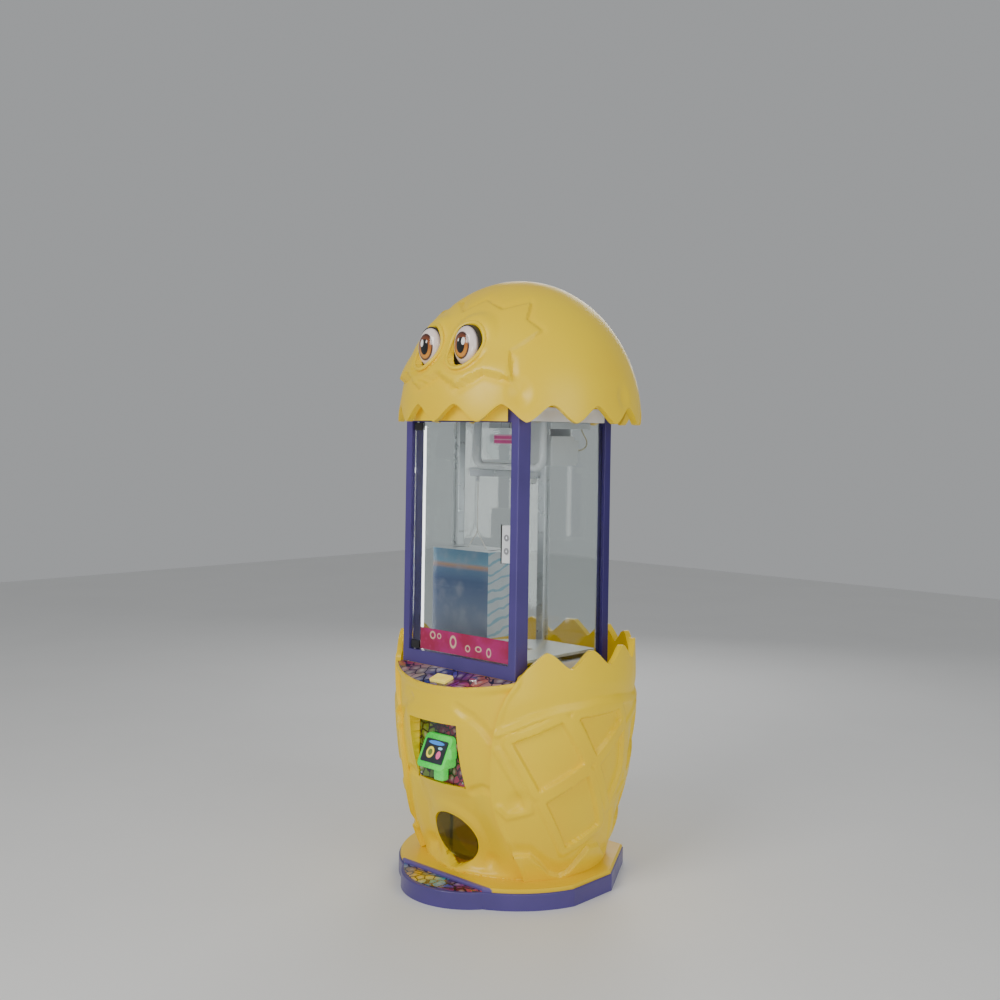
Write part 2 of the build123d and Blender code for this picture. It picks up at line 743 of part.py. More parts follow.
cutter_x = housing_right - cutter_size[0] / 2
cutter_y = housing_front + cutter_size[1] / 2
with BuildPart() as cutter_box:
    with BuildSketch(Plane(origin=(housing_right - cutter_size[0], cutter_y, cutter_bottom + cutter_size[2] / 2),
                           x_dir=(0, 1, 0), z_dir=(1, 0, 0))) as box_face:
        Rectangle(cutter_size[1], cutter_size[2])
        chamfer(box_face.vertices().group_by(Axis.Z)[0].sort_by(Axis.Y)[0], 16)
    extrude(amount=cutter_size[0])
    with BuildSketch(Plane.XY.offset(cutter_bottom + cutter_size[2])):
        with Locations((cutter_x, cutter_y - 8)):
            Rectangle(cutter_size[0] - 4, cutter_size[1] - 26)
    extrude(amount=14)
    for side in (-1, 1):
        with BuildSketch(Plane.XY.offset(cutter_bottom + cutter_size[2] + 14)):
            with Locations((cutter_x, cutter_y - 8 + side * (cutter_size[1] / 2 - 16))):
                Rectangle(cutter_size[0] - 30, 6)
        extrude(amount=housing_bottom - cutter_bottom - cutter_size[2] - 14)
keep(cutter_box, "cutter_box")

slider_x = 160.0
slider_size = (26.0, 34.0, 14.0)
slider_top = bar_low - 0.4
with BuildPart() as blade_slider:
    with BuildSketch(Plane.XY.offset(slider_top - slider_size[2])):
        with Locations((slider_x, hoop_y + 6)):
            RectangleRounded(slider_size[0], slider_size[1], 3)
    extrude(amount=slider_size[2])
    with BuildSketch(Plane.XY.offset(slider_top)):
        with Locations((slider_x, hoop_y)):
            Rectangle(slider_size[0], slot_width - 0.8)
    extrude(amount=7)
    with BuildSketch(Plane.XY.offset(slider_top - slider_size[2] - 2)):
        with BuildLine():
            Polyline((slider_x - 8, hoop_y - 6), (slider_x - 44, hoop_y - 3), (slider_x - 8, hoop_y + 8), close=True)
        make_face()
    extrude(amount=2)
    with BuildSketch(Plane.XY.offset(slider_top - slider_size[2] - 8)):
        with Locations((slider_x, hoop_y + 14)):
            Circle(2.5)
    extrude(amount=8)
keep(blade_slider, "blade_slider")

with BuildPart() as blade_arm:
    with BuildSketch(Plane.XY.offset(slider_top - slider_size[2] - 5)):
        with BuildLine():
            Polyline((slider_x + 7, hoop_y + 20), (slider_x - 8, hoop_y + 20), (slider_x - 44, hoop_y + 26),
                     (slider_x - 8, hoop_y + 10), (slider_x + 7, hoop_y + 9), close=True)
        make_face()
        with Locations((slider_x, hoop_y + 14)):
            Circle(2.56, mode=Mode.SUBTRACT)
    extrude(amount=2)
keep(blade_arm, "blade_arm")

cable_points = ((200, 100, housing_bottom), (201, 106, 1562), (204, 120, 1545), (205, 128, 1526),
                (204, 120, 1510), (202, 100, 1501), (200, 78, 1500), (199, 60, 1505),
                (199, housing_front + cutter_size[1], 1509))


def route_radii(points):
    """Largest tangent arc that each corner's two runs allow."""
    radii = []
    for a, b, c in zip(points, points[1:], points[2:]):
        first = Vector(*b) - Vector(*a)
        second = Vector(*c) - Vector(*b)
        turn = radians(first.get_angle(second))
        radii.append(0.45 * min(first.length, second.length) / (sin(turn / 2) / cos(turn / 2)))
    return radii


cable_radii = route_radii(cable_points)
print("service cable radii", [round(r, 1) for r in cable_radii])
with BuildPart() as service_cable:
    with BuildLine() as cable_path:
        route = FilletPolyline(*cable_points, radius=cable_radii)
    with BuildSketch(Plane(origin=route @ 0, z_dir=route % 0)):
        Circle(cable_diameter / 2)
    sweep(path=cable_path.line)
print("service cable length", round(route.length, 1), "volume ratio",
      round(service_cable.part.volume / (3.14159 * cable_diameter ** 2 / 4 * route.length), 4))
keep(service_cable, "service_cable")

# ---------------------------------------------------------------- hanging prize
prize_x = half_post - post_line + prize_gap + prize_box_size[0] / 2
prize_top = prize_box_bottom + prize_box_size[2]
apex = prize_top + 60
box_split = 0.55
hanger_eye = bar_low - 10
ring_radius = 6.0
ring_wire = 1.1
with BuildPart() as prize_hanger:
    with BuildSketch(Plane(origin=(prize_x - 1, hoop_y, bar_low), x_dir=(0, 1, 0), z_dir=(1, 0, 0))):
        with Locations((0, 5)):
            Rectangle(slot_width + 5, 3)
        Rectangle(slot_width - 1, 8)
        with Locations((0, -9)):
            Rectangle(13, 15)
        with Locations((0, -10)):
            Circle(3.5, mode=Mode.SUBTRACT)
    extrude(amount=2)
keep(prize_hanger, "prize_hanger")

with BuildPart() as prize_ring:
    with Locations(Location((prize_x, hoop_y, hanger_eye - ring_radius), (90, 0, 0))):
        Torus(ring_radius, ring_wire)
keep(prize_ring, "prize_ring")
hook_low = hanger_eye - 2 * ring_radius - ring_wire - 0.3

harness_half = 46.0
with BuildPart() as prize_string:
    with BuildSketch(Plane.XY.offset(apex)):
        with Locations((prize_x, hoop_y)):
            Circle(string_radius)
    extrude(amount=hook_low - apex)
    for side in (-1, 1):
        start = Vector(prize_x, hoop_y, apex)
        end = Vector(prize_x + side * harness_half, hoop_y, prize_top)
        with BuildSketch(Plane(origin=start, z_dir=end - start)):
            Circle(string_radius)
        extrude(amount=(end - start).length)
    with Locations((prize_x, hoop_y, apex)):
        Sphere(4)
    with BuildSketch(Plane.XY.offset(prize_top)):
        Rectangle(2000, 2000)
    extrude(amount=-20, mode=Mode.SUBTRACT)
keep(prize_string, "prize_string")

for name, low, high in (("prize_box_lower", 0, box_split), ("prize_box_upper", box_split, 1)):
    with BuildPart() as carton:
        with BuildSketch(Plane.XY.offset(prize_box_bottom + low * prize_box_size[2])):
            with Locations((prize_x, hoop_y)):
                RectangleRounded(prize_box_size[0], prize_box_size[1], 2)
        extrude(amount=(high - low) * prize_box_size[2])
        with BuildSketch(Plane.XY.offset(prize_box_bottom + low * prize_box_size[2] + 3)):
            with Locations((prize_x, hoop_y)):
                Rectangle(prize_box_size[0] - 6, prize_box_size[1] - 6)
        extrude(amount=(high - low) * prize_box_size[2] - 6, mode=Mode.SUBTRACT)
    keep(carton, name)

# ---------------------------------------------------------------- dome, header and eyes
dome_wall = shell_wall
eye_x, eye_y, eye_z = eye_place
dome_angles = [tooth_step * (k + 0.5) for k in range(tooth_count)]


def dome_cutter():
    """Sixteen radial V notches between the dome's teeth."""
    half = 3.1416 * egg_radius / tooth_count - 3
    with BuildPart() as cutter:
        for angle in dome_angles:
            with BuildSketch(outward_plane(angle, 340)) as v_shape:
                with BuildLine():
                    Polyline((-half, dome_bottom - 5), (-half, dome_bottom), (0, dome_bottom + dome_tooth),
                             (half, dome_bottom), (half, dome_bottom - 5), close=True)
                make_face()
                fillet(v_shape.vertices().sort_by(Axis.Y)[-1], 12)
            extrude(amount=140)
    return cutter.part


def dome_points(inset, steps=6):
    """Quarter ellipse from the dome's edge to its top, moved in by an inset."""
    angles = [radians(90 * k / steps) for k in range(steps + 1)]
    return [((egg_radius - inset) * cos(t), dome_bottom + (dome_height - inset) * sin(t)) for t in angles]


def eye_ellipse(grow):
    """An eye's outline, grown all round."""
    Ellipse(eye_radii[0] + grow, eye_radii[2] + grow)


notches = dome_cutter()
with BuildPart() as dome_shell:
    with BuildSketch(radial_plane(180)):
        with BuildLine():
            outside = Spline(*dome_points(0), tangents=[(0, 1), (-1, 0)])
            inside = Spline(*dome_points(dome_wall), tangents=[(0, 1), (-1, 0)])
            Line(outside @ 0, inside @ 0)
            Line(outside @ 1, inside @ 1)
        make_face()
    revolve(axis=Axis.Z)
    add(notches, mode=Mode.SUBTRACT)
    for side in (-1, 1):
        with BuildSketch(Plane(origin=(side * eye_x, -250, eye_z), x_dir=(1, 0, 0), z_dir=(0, -1, 0))):
            eye_ellipse(2)
        extrude(amount=200, mode=Mode.SUBTRACT)
keep(dome_shell, "dome_shell")

eye_sides = (-1, 1)
socket_back = -264.0
socket_plane = Plane(origin=(0, socket_back, eye_z), x_dir=(1, 0, 0), z_dir=(0, -1, 0))
with BuildPart() as eye_sockets:
    for side in eye_sides:
        with BuildSketch(socket_plane):
            with Locations((side * eye_x, 0)):
                eye_ellipse(1.5)
        extrude(amount=104)
        with BuildSketch(socket_plane.offset(3)):
            with Locations((side * eye_x, 0)):
                eye_ellipse(-2)
        extrude(amount=120, mode=Mode.SUBTRACT)
keep(eye_sockets, "eye_sockets")

eye_gap = 2.5
eye_side_gap = 7.0
eye_scale = (eye_radii[0] - eye_side_gap, eye_radii[1] - eye_gap, eye_radii[2] - eye_gap)
eye_stalk = 12.0
for name, side in (("eyeball_left", -1), ("eyeball_right", 1)):
    ball = Pos(side * eye_x - 3, eye_y, eye_z) * scale(Sphere(1), by=eye_scale)
    with BuildPart() as eyeball:
        add(ball)
        with BuildSketch(socket_plane.offset(3)):
            with Locations((side * eye_x - 3, 0)):
                Circle(eye_stalk)
        extrude(amount=80)
    keep(eyeball, name)

header_inset = 40.0
with BuildPart() as header_panel:
    with BuildSketch(radial_plane(-36)):
        with Locations((egg_radius - header_inset - 3, dome_bottom + 43)):
            Rectangle(6, 78)
    revolve(axis=Axis.Z, revolution_arc=72)
keep(header_panel, "header_panel")

tube_width = 10.0
tube_line = post_line - glass_thickness / 2 - tube_width / 2
with BuildPart() as light_tubes:
    for side in (-1, 1):
        with BuildSketch(Plane.XY.offset(glass_low + 20)):
            with Locations((side * tube_line, front_y + frame_depth + 8)):
                RectangleRounded(tube_width, 15.8, 3)
        extrude(amount=top_rail_low - glass_low - 40)
keep(light_tubes, "light_tubes")

screw_radius = 4.0
with BuildPart() as frame_screws:
    for height in (frame_bottom + 80, (frame_bottom + frame_top) / 2, frame_top - 120):
        with BuildSketch(Plane(origin=(-post_line + half_post, 0, height), x_dir=(0, 1, 0), z_dir=(1, 0, 0))):
            for shift in (-7, 7):
                with Locations((corner_y + shift, 0)):
                    Circle(screw_radius)
        extrude(amount=3)
        with BuildSketch(Plane(origin=(0, rear_line - half_post, height), x_dir=(1, 0, 0), z_dir=(0, -1, 0))):
            for shift in (-7, 7):
                with Locations((corner_x + shift, 0)):
                    Circle(screw_radius)
        extrude(amount=3)
keep(frame_screws, "frame_screws")

# ---------------------------------------------------------------- electrics
with BuildPart() as control_board:
    with BuildSketch(Plane.XY.offset(tray_top)):
        with Locations((0, 130)):
            RectangleRounded(240, 120, 6)
    extrude(amount=180)
keep(control_board, "control_board_case")

inlet_radius = egg_at(inlet_height)
with BuildPart() as power_inlet:
    with BuildSketch(outward_plane(180, inlet_radius - 4, inlet_height)):
        RectangleRounded(inlet_size[0], inlet_size[1], 4)
    extrude(amount=8)
    with BuildSketch(outward_plane(180, inlet_radius + 4, inlet_height)):
        RectangleRounded(inlet_size[0] - 20, inlet_size[1] - 8, 3)
    extrude(amount=-7, mode=Mode.SUBTRACT)
keep(power_inlet, "power_inlet")
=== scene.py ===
import math

import bmesh
import bpy
from mathutils import Matrix, Vector


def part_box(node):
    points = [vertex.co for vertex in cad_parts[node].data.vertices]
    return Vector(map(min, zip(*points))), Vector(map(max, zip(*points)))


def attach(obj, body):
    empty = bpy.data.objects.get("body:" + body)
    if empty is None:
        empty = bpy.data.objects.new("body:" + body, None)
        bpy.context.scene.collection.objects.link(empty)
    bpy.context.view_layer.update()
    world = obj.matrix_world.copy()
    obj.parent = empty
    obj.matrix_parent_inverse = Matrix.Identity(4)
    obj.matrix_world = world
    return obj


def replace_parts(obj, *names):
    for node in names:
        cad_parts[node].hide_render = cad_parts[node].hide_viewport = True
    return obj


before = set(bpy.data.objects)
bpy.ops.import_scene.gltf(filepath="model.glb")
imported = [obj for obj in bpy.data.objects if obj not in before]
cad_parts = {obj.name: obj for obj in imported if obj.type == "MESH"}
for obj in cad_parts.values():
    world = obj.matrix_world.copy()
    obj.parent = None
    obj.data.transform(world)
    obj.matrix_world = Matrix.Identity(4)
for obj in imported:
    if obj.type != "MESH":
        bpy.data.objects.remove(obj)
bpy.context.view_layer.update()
MM = 0.001


# ------------------------------------------------------------------ shader groups shared by several finishes
def new_group(name, inputs, outputs):
    """Empty shader group with named sockets; returns it with its input and output nodes."""
    group = bpy.data.node_groups.new(name, "ShaderNodeTree")
    for label, kind, value in inputs:
        socket = group.interface.new_socket(label, in_out="INPUT", socket_type=kind)
        socket.default_value = value
    for label, kind in outputs:
        group.interface.new_socket(label, in_out="OUTPUT", socket_type=kind)
    return group, group.nodes.new("NodeGroupInput"), group.nodes.new("NodeGroupOutput")


def math_node(tree, operation, first, second=None):
    """Math node fed by sockets or plain numbers; returns its output."""
    made = tree.nodes.new("ShaderNodeMath")
    made.operation = operation
    for slot, value in enumerate((first, second)):
        if value is None:
            continue
        if isinstance(value, (int, float)):
            made.inputs[slot].default_value = value
        else:
            tree.links.new(value, made.inputs[slot])
    return made.outputs[0]


def blend_colours(tree, factor, first, second):
    """Mix two colours, each a socket or a plain colour; returns the output socket."""
    made = tree.nodes.new("ShaderNodeMix")
    made.data_type = "RGBA"
    for slot, value in ((0, factor), (6, first), (7, second)):
        if isinstance(value, bpy.types.NodeSocket):
            tree.links.new(value, made.inputs[slot])
        elif slot:
            made.inputs[slot].default_value = (*value[:3], 1.0)
        else:
            made.inputs[slot].default_value = value
    return made.outputs[2]


def ramp(tree, source, stops, kind="LINEAR"):
    """Colour ramp with (position, colour) stops; returns its colour."""
    made = tree.nodes.new("ShaderNodeValToRGB")
    made.color_ramp.interpolation = kind
    elements = made.color_ramp.elements
    while len(elements) < len(stops):
        elements.new(0.5)
    for element, (position, colour) in zip(elements, stops):
        element.position = position
        element.color = (*colour[:3], 1.0)
    tree.links.new(source, made.inputs[0])
    return made.outputs[0]


def noise_at(tree, where, scale, detail=3.0, roughness=0.55):
    """Noise value at a scale per metre."""
    made = tree.nodes.new("ShaderNodeTexNoise")
    made.inputs["Scale"].default_value = scale
    made.inputs["Detail"].default_value = detail
    made.inputs["Roughness"].default_value = roughness
    tree.links.new(where, made.inputs["Vector"])
    return made.outputs["Fac"]


def spread(tree, value, low, high, out_low=0.0, out_high=1.0):
    """Smooth map from one range to another."""
    made = tree.nodes.new("ShaderNodeMapRange")
    made.interpolation_type = "SMOOTHSTEP"
    tree.links.new(value, made.inputs["Value"])
    for label, number in (("From Min", low), ("From Max", high), ("To Min", out_low), ("To Max", out_high)):
        made.inputs[label].default_value = number
    return made.outputs["Result"]


def build_surface_wear():
    """Cloudy colour, uneven gloss and fine orange peel over any moulded or painted piece."""
    group, given, result = new_group(
        "surface_wear",
        [("Colour", "NodeSocketColor", (0.8, 0.8, 0.8, 1)), ("Shade", "NodeSocketColor", (0.6, 0.6, 0.6, 1)),
         ("Cloud size", "NodeSocketFloat", 4.0), ("Cloud amount", "NodeSocketFloat", 0.5),
         ("Gloss", "NodeSocketFloat", 0.35), ("Gloss change", "NodeSocketFloat", 0.12),
         ("Peel size", "NodeSocketFloat", 600.0)],
        [("Colour", "NodeSocketColor"), ("Roughness", "NodeSocketFloat"), ("Height", "NodeSocketFloat")])
    where = group.nodes.new("ShaderNodeTexCoord").outputs["Object"]
    clouds = group.nodes.new("ShaderNodeTexNoise")
    clouds.inputs["Detail"].default_value = 4.0
    group.links.new(where, clouds.inputs["Vector"])
    group.links.new(given.outputs["Cloud size"], clouds.inputs["Scale"])
    patches = spread(group, clouds.outputs["Fac"], 0.35, 0.7)
    amount = math_node(group, "MULTIPLY", patches, given.outputs["Cloud amount"])
    mixed = blend_colours(group, amount, given.outputs["Colour"], given.outputs["Shade"])
    group.links.new(mixed, result.inputs["Colour"])
    smudge = noise_at(group, where, 23.0, 6.0, 0.7)
    centred = math_node(group, "SUBTRACT", smudge, 0.5)
    change = math_node(group, "MULTIPLY", centred, given.outputs["Gloss change"])
    doubled = math_node(group, "MULTIPLY", change, 2.0)
    group.links.new(math_node(group, "ADD", doubled, given.outputs["Gloss"]), result.inputs["Roughness"])
    peel = group.nodes.new("ShaderNodeTexNoise")
    peel.inputs["Detail"].default_value = 2.0
    group.links.new(where, peel.inputs["Vector"])
    group.links.new(given.outputs["Peel size"], peel.inputs["Scale"])
    group.links.new(peel.outputs["Fac"], result.inputs["Height"])
    return group


def build_cobbles():
    """Rounded stones with dark joints; gives a random grey per stone, a joint mask and a dome height."""
    group, given, result = new_group(
        "printed_cobbles",
        [("Stone size", "NodeSocketFloat", 22.0), ("Joint", "NodeSocketFloat", 0.06)],
        [("Pick", "NodeSocketFloat"), ("Stone", "NodeSocketFloat"), ("Shine", "NodeSocketFloat")])
    where = group.nodes.new("ShaderNodeTexCoord").outputs["Object"]
    wobble = group.nodes.new("ShaderNodeTexNoise")
    wobble.inputs["Scale"].default_value = 9.0
    group.links.new(where, wobble.inputs["Vector"])
    bent = group.nodes.new("ShaderNodeVectorMath")
    bent.operation = "MULTIPLY_ADD"
    bent.inputs[1].default_value = (0.05, 0.05, 0.05)
    group.links.new(wobble.outputs["Color"], bent.inputs[0])
    group.links.new(where, bent.inputs[2])
    edges = group.nodes.new("ShaderNodeTexVoronoi")
    edges.feature = "DISTANCE_TO_EDGE"
    cells = group.nodes.new("ShaderNodeTexVoronoi")
    for made in (edges, cells):
        group.links.new(bent.outputs[0], made.inputs["Vector"])
        group.links.new(given.outputs["Stone size"], made.inputs["Scale"])
    split = group.nodes.new("ShaderNodeSeparateColor")
    group.links.new(cells.outputs["Color"], split.inputs[0])
    group.links.new(split.outputs[0], result.inputs["Pick"])
    over = math_node(group, "DIVIDE", edges.outputs["Distance"], given.outputs["Joint"])
    group.links.new(spread(group, over, 0.6, 1.4), result.inputs["Stone"])
    group.links.new(spread(group, cells.outputs["Distance"], 0.42, 0.05), result.inputs["Shine"])
    return group


def build_spot():
    """Mask of an upright ellipse facing the front: 1 inside, 0 outside."""
    group, given, result = new_group(
        "front_spot",
        [("Centre", "NodeSocketVector", (0, 0, 0)), ("Reach", "NodeSocketVector", (0.01, 1.0, 0.01)),
         ("Soft", "NodeSocketFloat", 0.04)],
        [("Mask", "NodeSocketFloat"), ("Distance", "NodeSocketFloat")])
    where = group.nodes.new("ShaderNodeTexCoord").outputs["Object"]
    moved = group.nodes.new("ShaderNodeVectorMath")
    moved.operation = "SUBTRACT"
    group.links.new(where, moved.inputs[0])
    group.links.new(given.outputs["Centre"], moved.inputs[1])
    scaled = group.nodes.new("ShaderNodeVectorMath")
    scaled.operation = "DIVIDE"
    group.links.new(moved.outputs[0], scaled.inputs[0])
    group.links.new(given.outputs["Reach"], scaled.inputs[1])
    flat = group.nodes.new("ShaderNodeVectorMath")
    flat.operation = "MULTIPLY"
    flat.inputs[1].default_value = (1, 0, 1)
    group.links.new(scaled.outputs[0], flat.inputs[0])
    away = group.nodes.new("ShaderNodeVectorMath")
    away.operation = "LENGTH"
    group.links.new(flat.outputs[0], away.inputs[0])
    distance = away.outputs["Value"]
    beyond = math_node(group, "SUBTRACT", 1.0, distance)
    sharp = math_node(group, "DIVIDE", beyond, given.outputs["Soft"])
    group.links.new(spread(group, sharp, -1.0, 1.0), result.inputs["Mask"])
    group.links.new(distance, result.inputs["Distance"])
    return group


surface_wear = build_surface_wear()
cobbles = build_cobbles()
front_spot = build_spot()


# ------------------------------------------------------------------ finishes
def place_group(tree, group, **values):
    """Put a shader group in a material with its own values."""
    made = tree.nodes.new("ShaderNodeGroup")
    made.node_tree = group
    for label, value in values.items():
        made.inputs[label.replace("_", " ")].default_value = value
    return made


def finish(name, colour, shade, gloss, peel=0.02, metal=0.0, coat=0.0, glow=0.0, through=0.0, clouds=4.0,
           cloud_amount=0.5, gloss_change=0.12, peel_size=600.0, ior=1.5):
    """Material whose colour, gloss and fine texture come from the wear group."""
    made = bpy.data.materials.new(name)
    made.use_nodes = True
    tree = made.node_tree
    shader = tree.nodes["Principled BSDF"]
    shader.inputs["Metallic"].default_value = metal
    shader.inputs["IOR"].default_value = ior
    shader.inputs["Coat Weight"].default_value = coat
    shader.inputs["Coat Roughness"].default_value = 0.12
    shader.inputs["Transmission Weight"].default_value = through
    shader.inputs["Emission Strength"].default_value = glow
    wear = place_group(tree, surface_wear, Colour=(*colour, 1), Shade=(*shade, 1), Cloud_size=clouds,
                       Cloud_amount=cloud_amount, Gloss=gloss, Gloss_change=gloss_change, Peel_size=peel_size)
    tree.links.new(wear.outputs["Colour"], shader.inputs["Base Color"])
    if glow:
        tree.links.new(wear.outputs["Colour"], shader.inputs["Emission Color"])
    tree.links.new(wear.outputs["Roughness"], shader.inputs["Roughness"])
    bump = tree.nodes.new("ShaderNodeBump")
    bump.inputs["Strength"].default_value = peel
    bump.inputs["Distance"].default_value = 0.001
    tree.links.new(wear.outputs["Height"], bump.inputs["Height"])
    tree.links.new(bump.outputs[0], shader.inputs["Normal"])
    return made


def repaint(material, colour, glow=False):
    """Send another colour socket to a finish's base colour."""
    tree = material.node_tree
    shader = tree.nodes["Principled BSDF"]
    tree.links.new(colour, shader.inputs["Base Color"])
    if glow:
        tree.links.new(colour, shader.inputs["Emission Color"])


def axis_value(tree, axis):
    """One object coordinate as a value."""
    split = tree.nodes.new("ShaderNodeSeparateXYZ")
    tree.links.new(tree.nodes.new("ShaderNodeTexCoord").outputs["Object"], split.inputs[0])
    return split.outputs[axis]


# Both yellow mouldings carry painted glow: their emission stands in for the cabinet's inner light showing through the
# shells, and it follows the clouded colour, so it is patchy.
yellow_moulding = finish("yellow_moulding", (0.86, 0.60, 0.0), (0.80, 0.49, 0.0), 0.36, peel=0.06,
                         glow=0.10, clouds=2.2, peel_size=260.0)
yellow_inner = finish("yellow_inner", (0.88, 0.62, 0.0), (0.82, 0.50, 0.0), 0.5, peel=0.08, glow=0.10, clouds=3.0)
purple_powder = finish("purple_powder", (0.075, 0.052, 0.235), (0.055, 0.040, 0.180), 0.36, peel=0.12, coat=0.2,
                       clouds=6.0, peel_size=900.0)
# Darker, bluer copy of the purple paint for the rear right post: painted shade on that post.
purple_powder_shaded = finish("purple_powder_shaded", (0.022, 0.008, 0.135), (0.016, 0.006, 0.10), 0.34, peel=0.12, coat=0.2,
                     clouds=6.0, peel_size=900.0)
white_powder = finish("white_powder", (0.80, 0.82, 0.84), (0.70, 0.73, 0.76), 0.4, peel=0.14, clouds=9.0,
                      peel_size=1100.0)
anodised = finish("anodised", (0.74, 0.76, 0.78), (0.62, 0.65, 0.68), 0.3, peel=0.05, metal=0.85, clouds=12.0)
brushed_steel = finish("brushed_steel", (0.60, 0.60, 0.62), (0.46, 0.46, 0.48), 0.28, peel=0.1, metal=1.0,
                       clouds=40.0, gloss_change=0.2)
polished_chrome = finish("polished_chrome", (0.82, 0.82, 0.84), (0.70, 0.70, 0.72), 0.1, peel=0.01, metal=1.0,
                         clouds=20.0, gloss_change=0.06)
black_moulding = finish("black_moulding", (0.014, 0.014, 0.016), (0.03, 0.03, 0.034), 0.42, peel=0.2, clouds=14.0,
                        peel_size=1500.0)
black_steel = finish("black_steel", (0.035, 0.035, 0.042), (0.06, 0.055, 0.05), 0.5, peel=0.15, clouds=10.0)
white_laminate = finish("white_laminate", (0.80, 0.80, 0.77), (0.70, 0.70, 0.66), 0.38, peel=0.03, clouds=7.0)
nylon_white = finish("nylon_white", (0.78, 0.79, 0.78), (0.66, 0.68, 0.68), 0.45, peel=0.08, clouds=20.0)
cable_cream = finish("cable_cream", (0.62, 0.55, 0.34), (0.50, 0.43, 0.25), 0.5, peel=0.1, clouds=60.0)
twine = finish("twine", (0.80, 0.77, 0.70), (0.60, 0.56, 0.48), 0.75, peel=0.6, clouds=300.0, peel_size=2500.0)
lamp_white = finish("lamp_white", (1.0, 1.0, 0.97), (0.93, 0.96, 1.0), 0.4, glow=2.6, clouds=9.0)
button_glow = finish("button_glow", (0.95, 0.78, 0.12), (0.90, 0.62, 0.06), 0.25, coat=0.5, glow=0.55, clouds=30.0)
clear_glass = finish("clear_glass", (0.93, 0.97, 0.96), (0.90, 0.95, 0.94), 0.03, peel=0.0, through=1.0, clouds=3.0,
                     gloss_change=0.03, ior=1.45)
clear_acrylic = finish("clear_acrylic", (0.95, 0.97, 0.97), (0.91, 0.94, 0.95), 0.05, peel=0.01, through=1.0,
                       clouds=8.0, gloss_change=0.05, ior=1.45)
smoked_acrylic = finish("smoked_acrylic", (0.34, 0.36, 0.09), (0.26, 0.29, 0.06), 0.08, peel=0.01, through=0.92,
                        clouds=8.0, gloss_change=0.05, ior=1.3)


def paint_cobbles(name, across, stone_size, joint, gloss=0.16, glow=0.04):
    """Printed gloss film of coloured stones; across is the colour band along X in metres."""
    # These printed films carry a small painted glow in their emission; they are no lamps.
    made = finish(name, (0.1, 0.05, 0.1), (0.1, 0.05, 0.1), gloss, peel=0.02, coat=0.6, glow=glow, clouds=9.0)
    tree = made.node_tree
    stones = place_group(tree, cobbles, Stone_size=stone_size, Joint=joint)
    low, high, stops = across
    place = math_node(tree, "ADD", axis_value(tree, 0), math_node(tree, "MULTIPLY", stones.outputs["Pick"], 0.05))
    band = ramp(tree, spread(tree, place, low, high), stops)
    dark = blend_colours(tree, math_node(tree, "MULTIPLY", stones.outputs["Pick"], 0.75), band, (0.012, 0.006, 0.02))
    lit = blend_colours(tree, math_node(tree, "MULTIPLY", stones.outputs["Shine"], 0.35), dark, (0.75, 0.68, 0.6))
    repaint(made, blend_colours(tree, stones.outputs["Stone"], (0.006, 0.003, 0.010), lit), glow=True)
    return made


deck_print = paint_cobbles("deck_print", (-0.42, 0.40, (
    (0.0, (0.10, 0.02, 0.08)), (0.15, (0.34, 0.015, 0.08)), (0.34, (0.42, 0.34, 0.28)), (0.50, (0.03, 0.08, 0.42)),
    (0.66, (0.16, 0.02, 0.26)), (0.78, (0.50, 0.10, 0.05)), (0.90, (0.62, 0.36, 0.30)), (1.0, (0.10, 0.03, 0.20)))),
    24.0, 0.05)
kick_print = paint_cobbles("kick_print", (-0.20, 0.20, (
    (0.0, (0.02, 0.20, 0.50)), (0.22, (0.80, 0.42, 0.02)), (0.40, (0.85, 0.62, 0.05)), (0.58, (0.02, 0.36, 0.36)),
    (0.78, (0.03, 0.08, 0.50)), (1.0, (0.55, 0.03, 0.04)))), 30.0, 0.07)
panel_print = paint_cobbles("panel_print", (-0.11, 0.11, (
    (0.0, (0.14, 0.20, 0.02)), (0.25, (0.16, 0.30, 0.03)), (0.45, (0.02, 0.10, 0.03)), (0.60, (0.03, 0.06, 0.04)),
    (0.72, (0.30, 0.01, 0.05)), (1.0, (0.36, 0.02, 0.08)))), 34.0, 0.08)


def paint_strip():
    """Magenta film with faint paler stones and six plain rings."""
    # The strip's small emission is painted glow; the film is no lamp.
    made = finish("strip_print", (0.34, 0.004, 0.06), (0.42, 0.01, 0.16), 0.2, coat=0.5, glow=0.05, clouds=14.0,
                  cloud_amount=0.9)
    tree = made.node_tree
    plain = tree.nodes["Group"].outputs["Colour"]
    low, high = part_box("instruction_strip")
    middle = (low + high) / 2
    stones = place_group(tree, cobbles, Stone_size=46.0, Joint=0.08)
    edged = blend_colours(tree, math_node(tree, "MULTIPLY", stones.outputs["Shine"], 0.22), plain, (0.65, 0.05, 0.25))
    marks = (((-0.150, 0.016), (0.014, 0.014)), ((-0.118, 0.016), (0.010, 0.010)), ((-0.050, 0.004), (0.016, 0.022)),
             ((0.020, -0.010), (0.012, 0.012)), ((0.070, -0.006), (0.015, 0.010)), ((0.118, -0.012), (0.011, 0.016)))
    for (across, up), reach in marks:
        ring = place_group(tree, front_spot, Centre=(middle.x + across, 0, middle.z + up),
                           Reach=(reach[0], 1.0, reach[1]), Soft=0.12)
        hole = place_group(tree, front_spot, Centre=(middle.x + across, 0, middle.z + up),
                           Reach=(reach[0] * 0.62, 1.0, reach[1] * 0.62), Soft=0.12)
        mask = math_node(tree, "SUBTRACT", ring.outputs["Mask"], hole.outputs["Mask"])
        edged = blend_colours(tree, math_node(tree, "MULTIPLY", mask, 0.75), edged, (0.80, 0.62, 0.42))
    repaint(made, edged, glow=True)
    return made


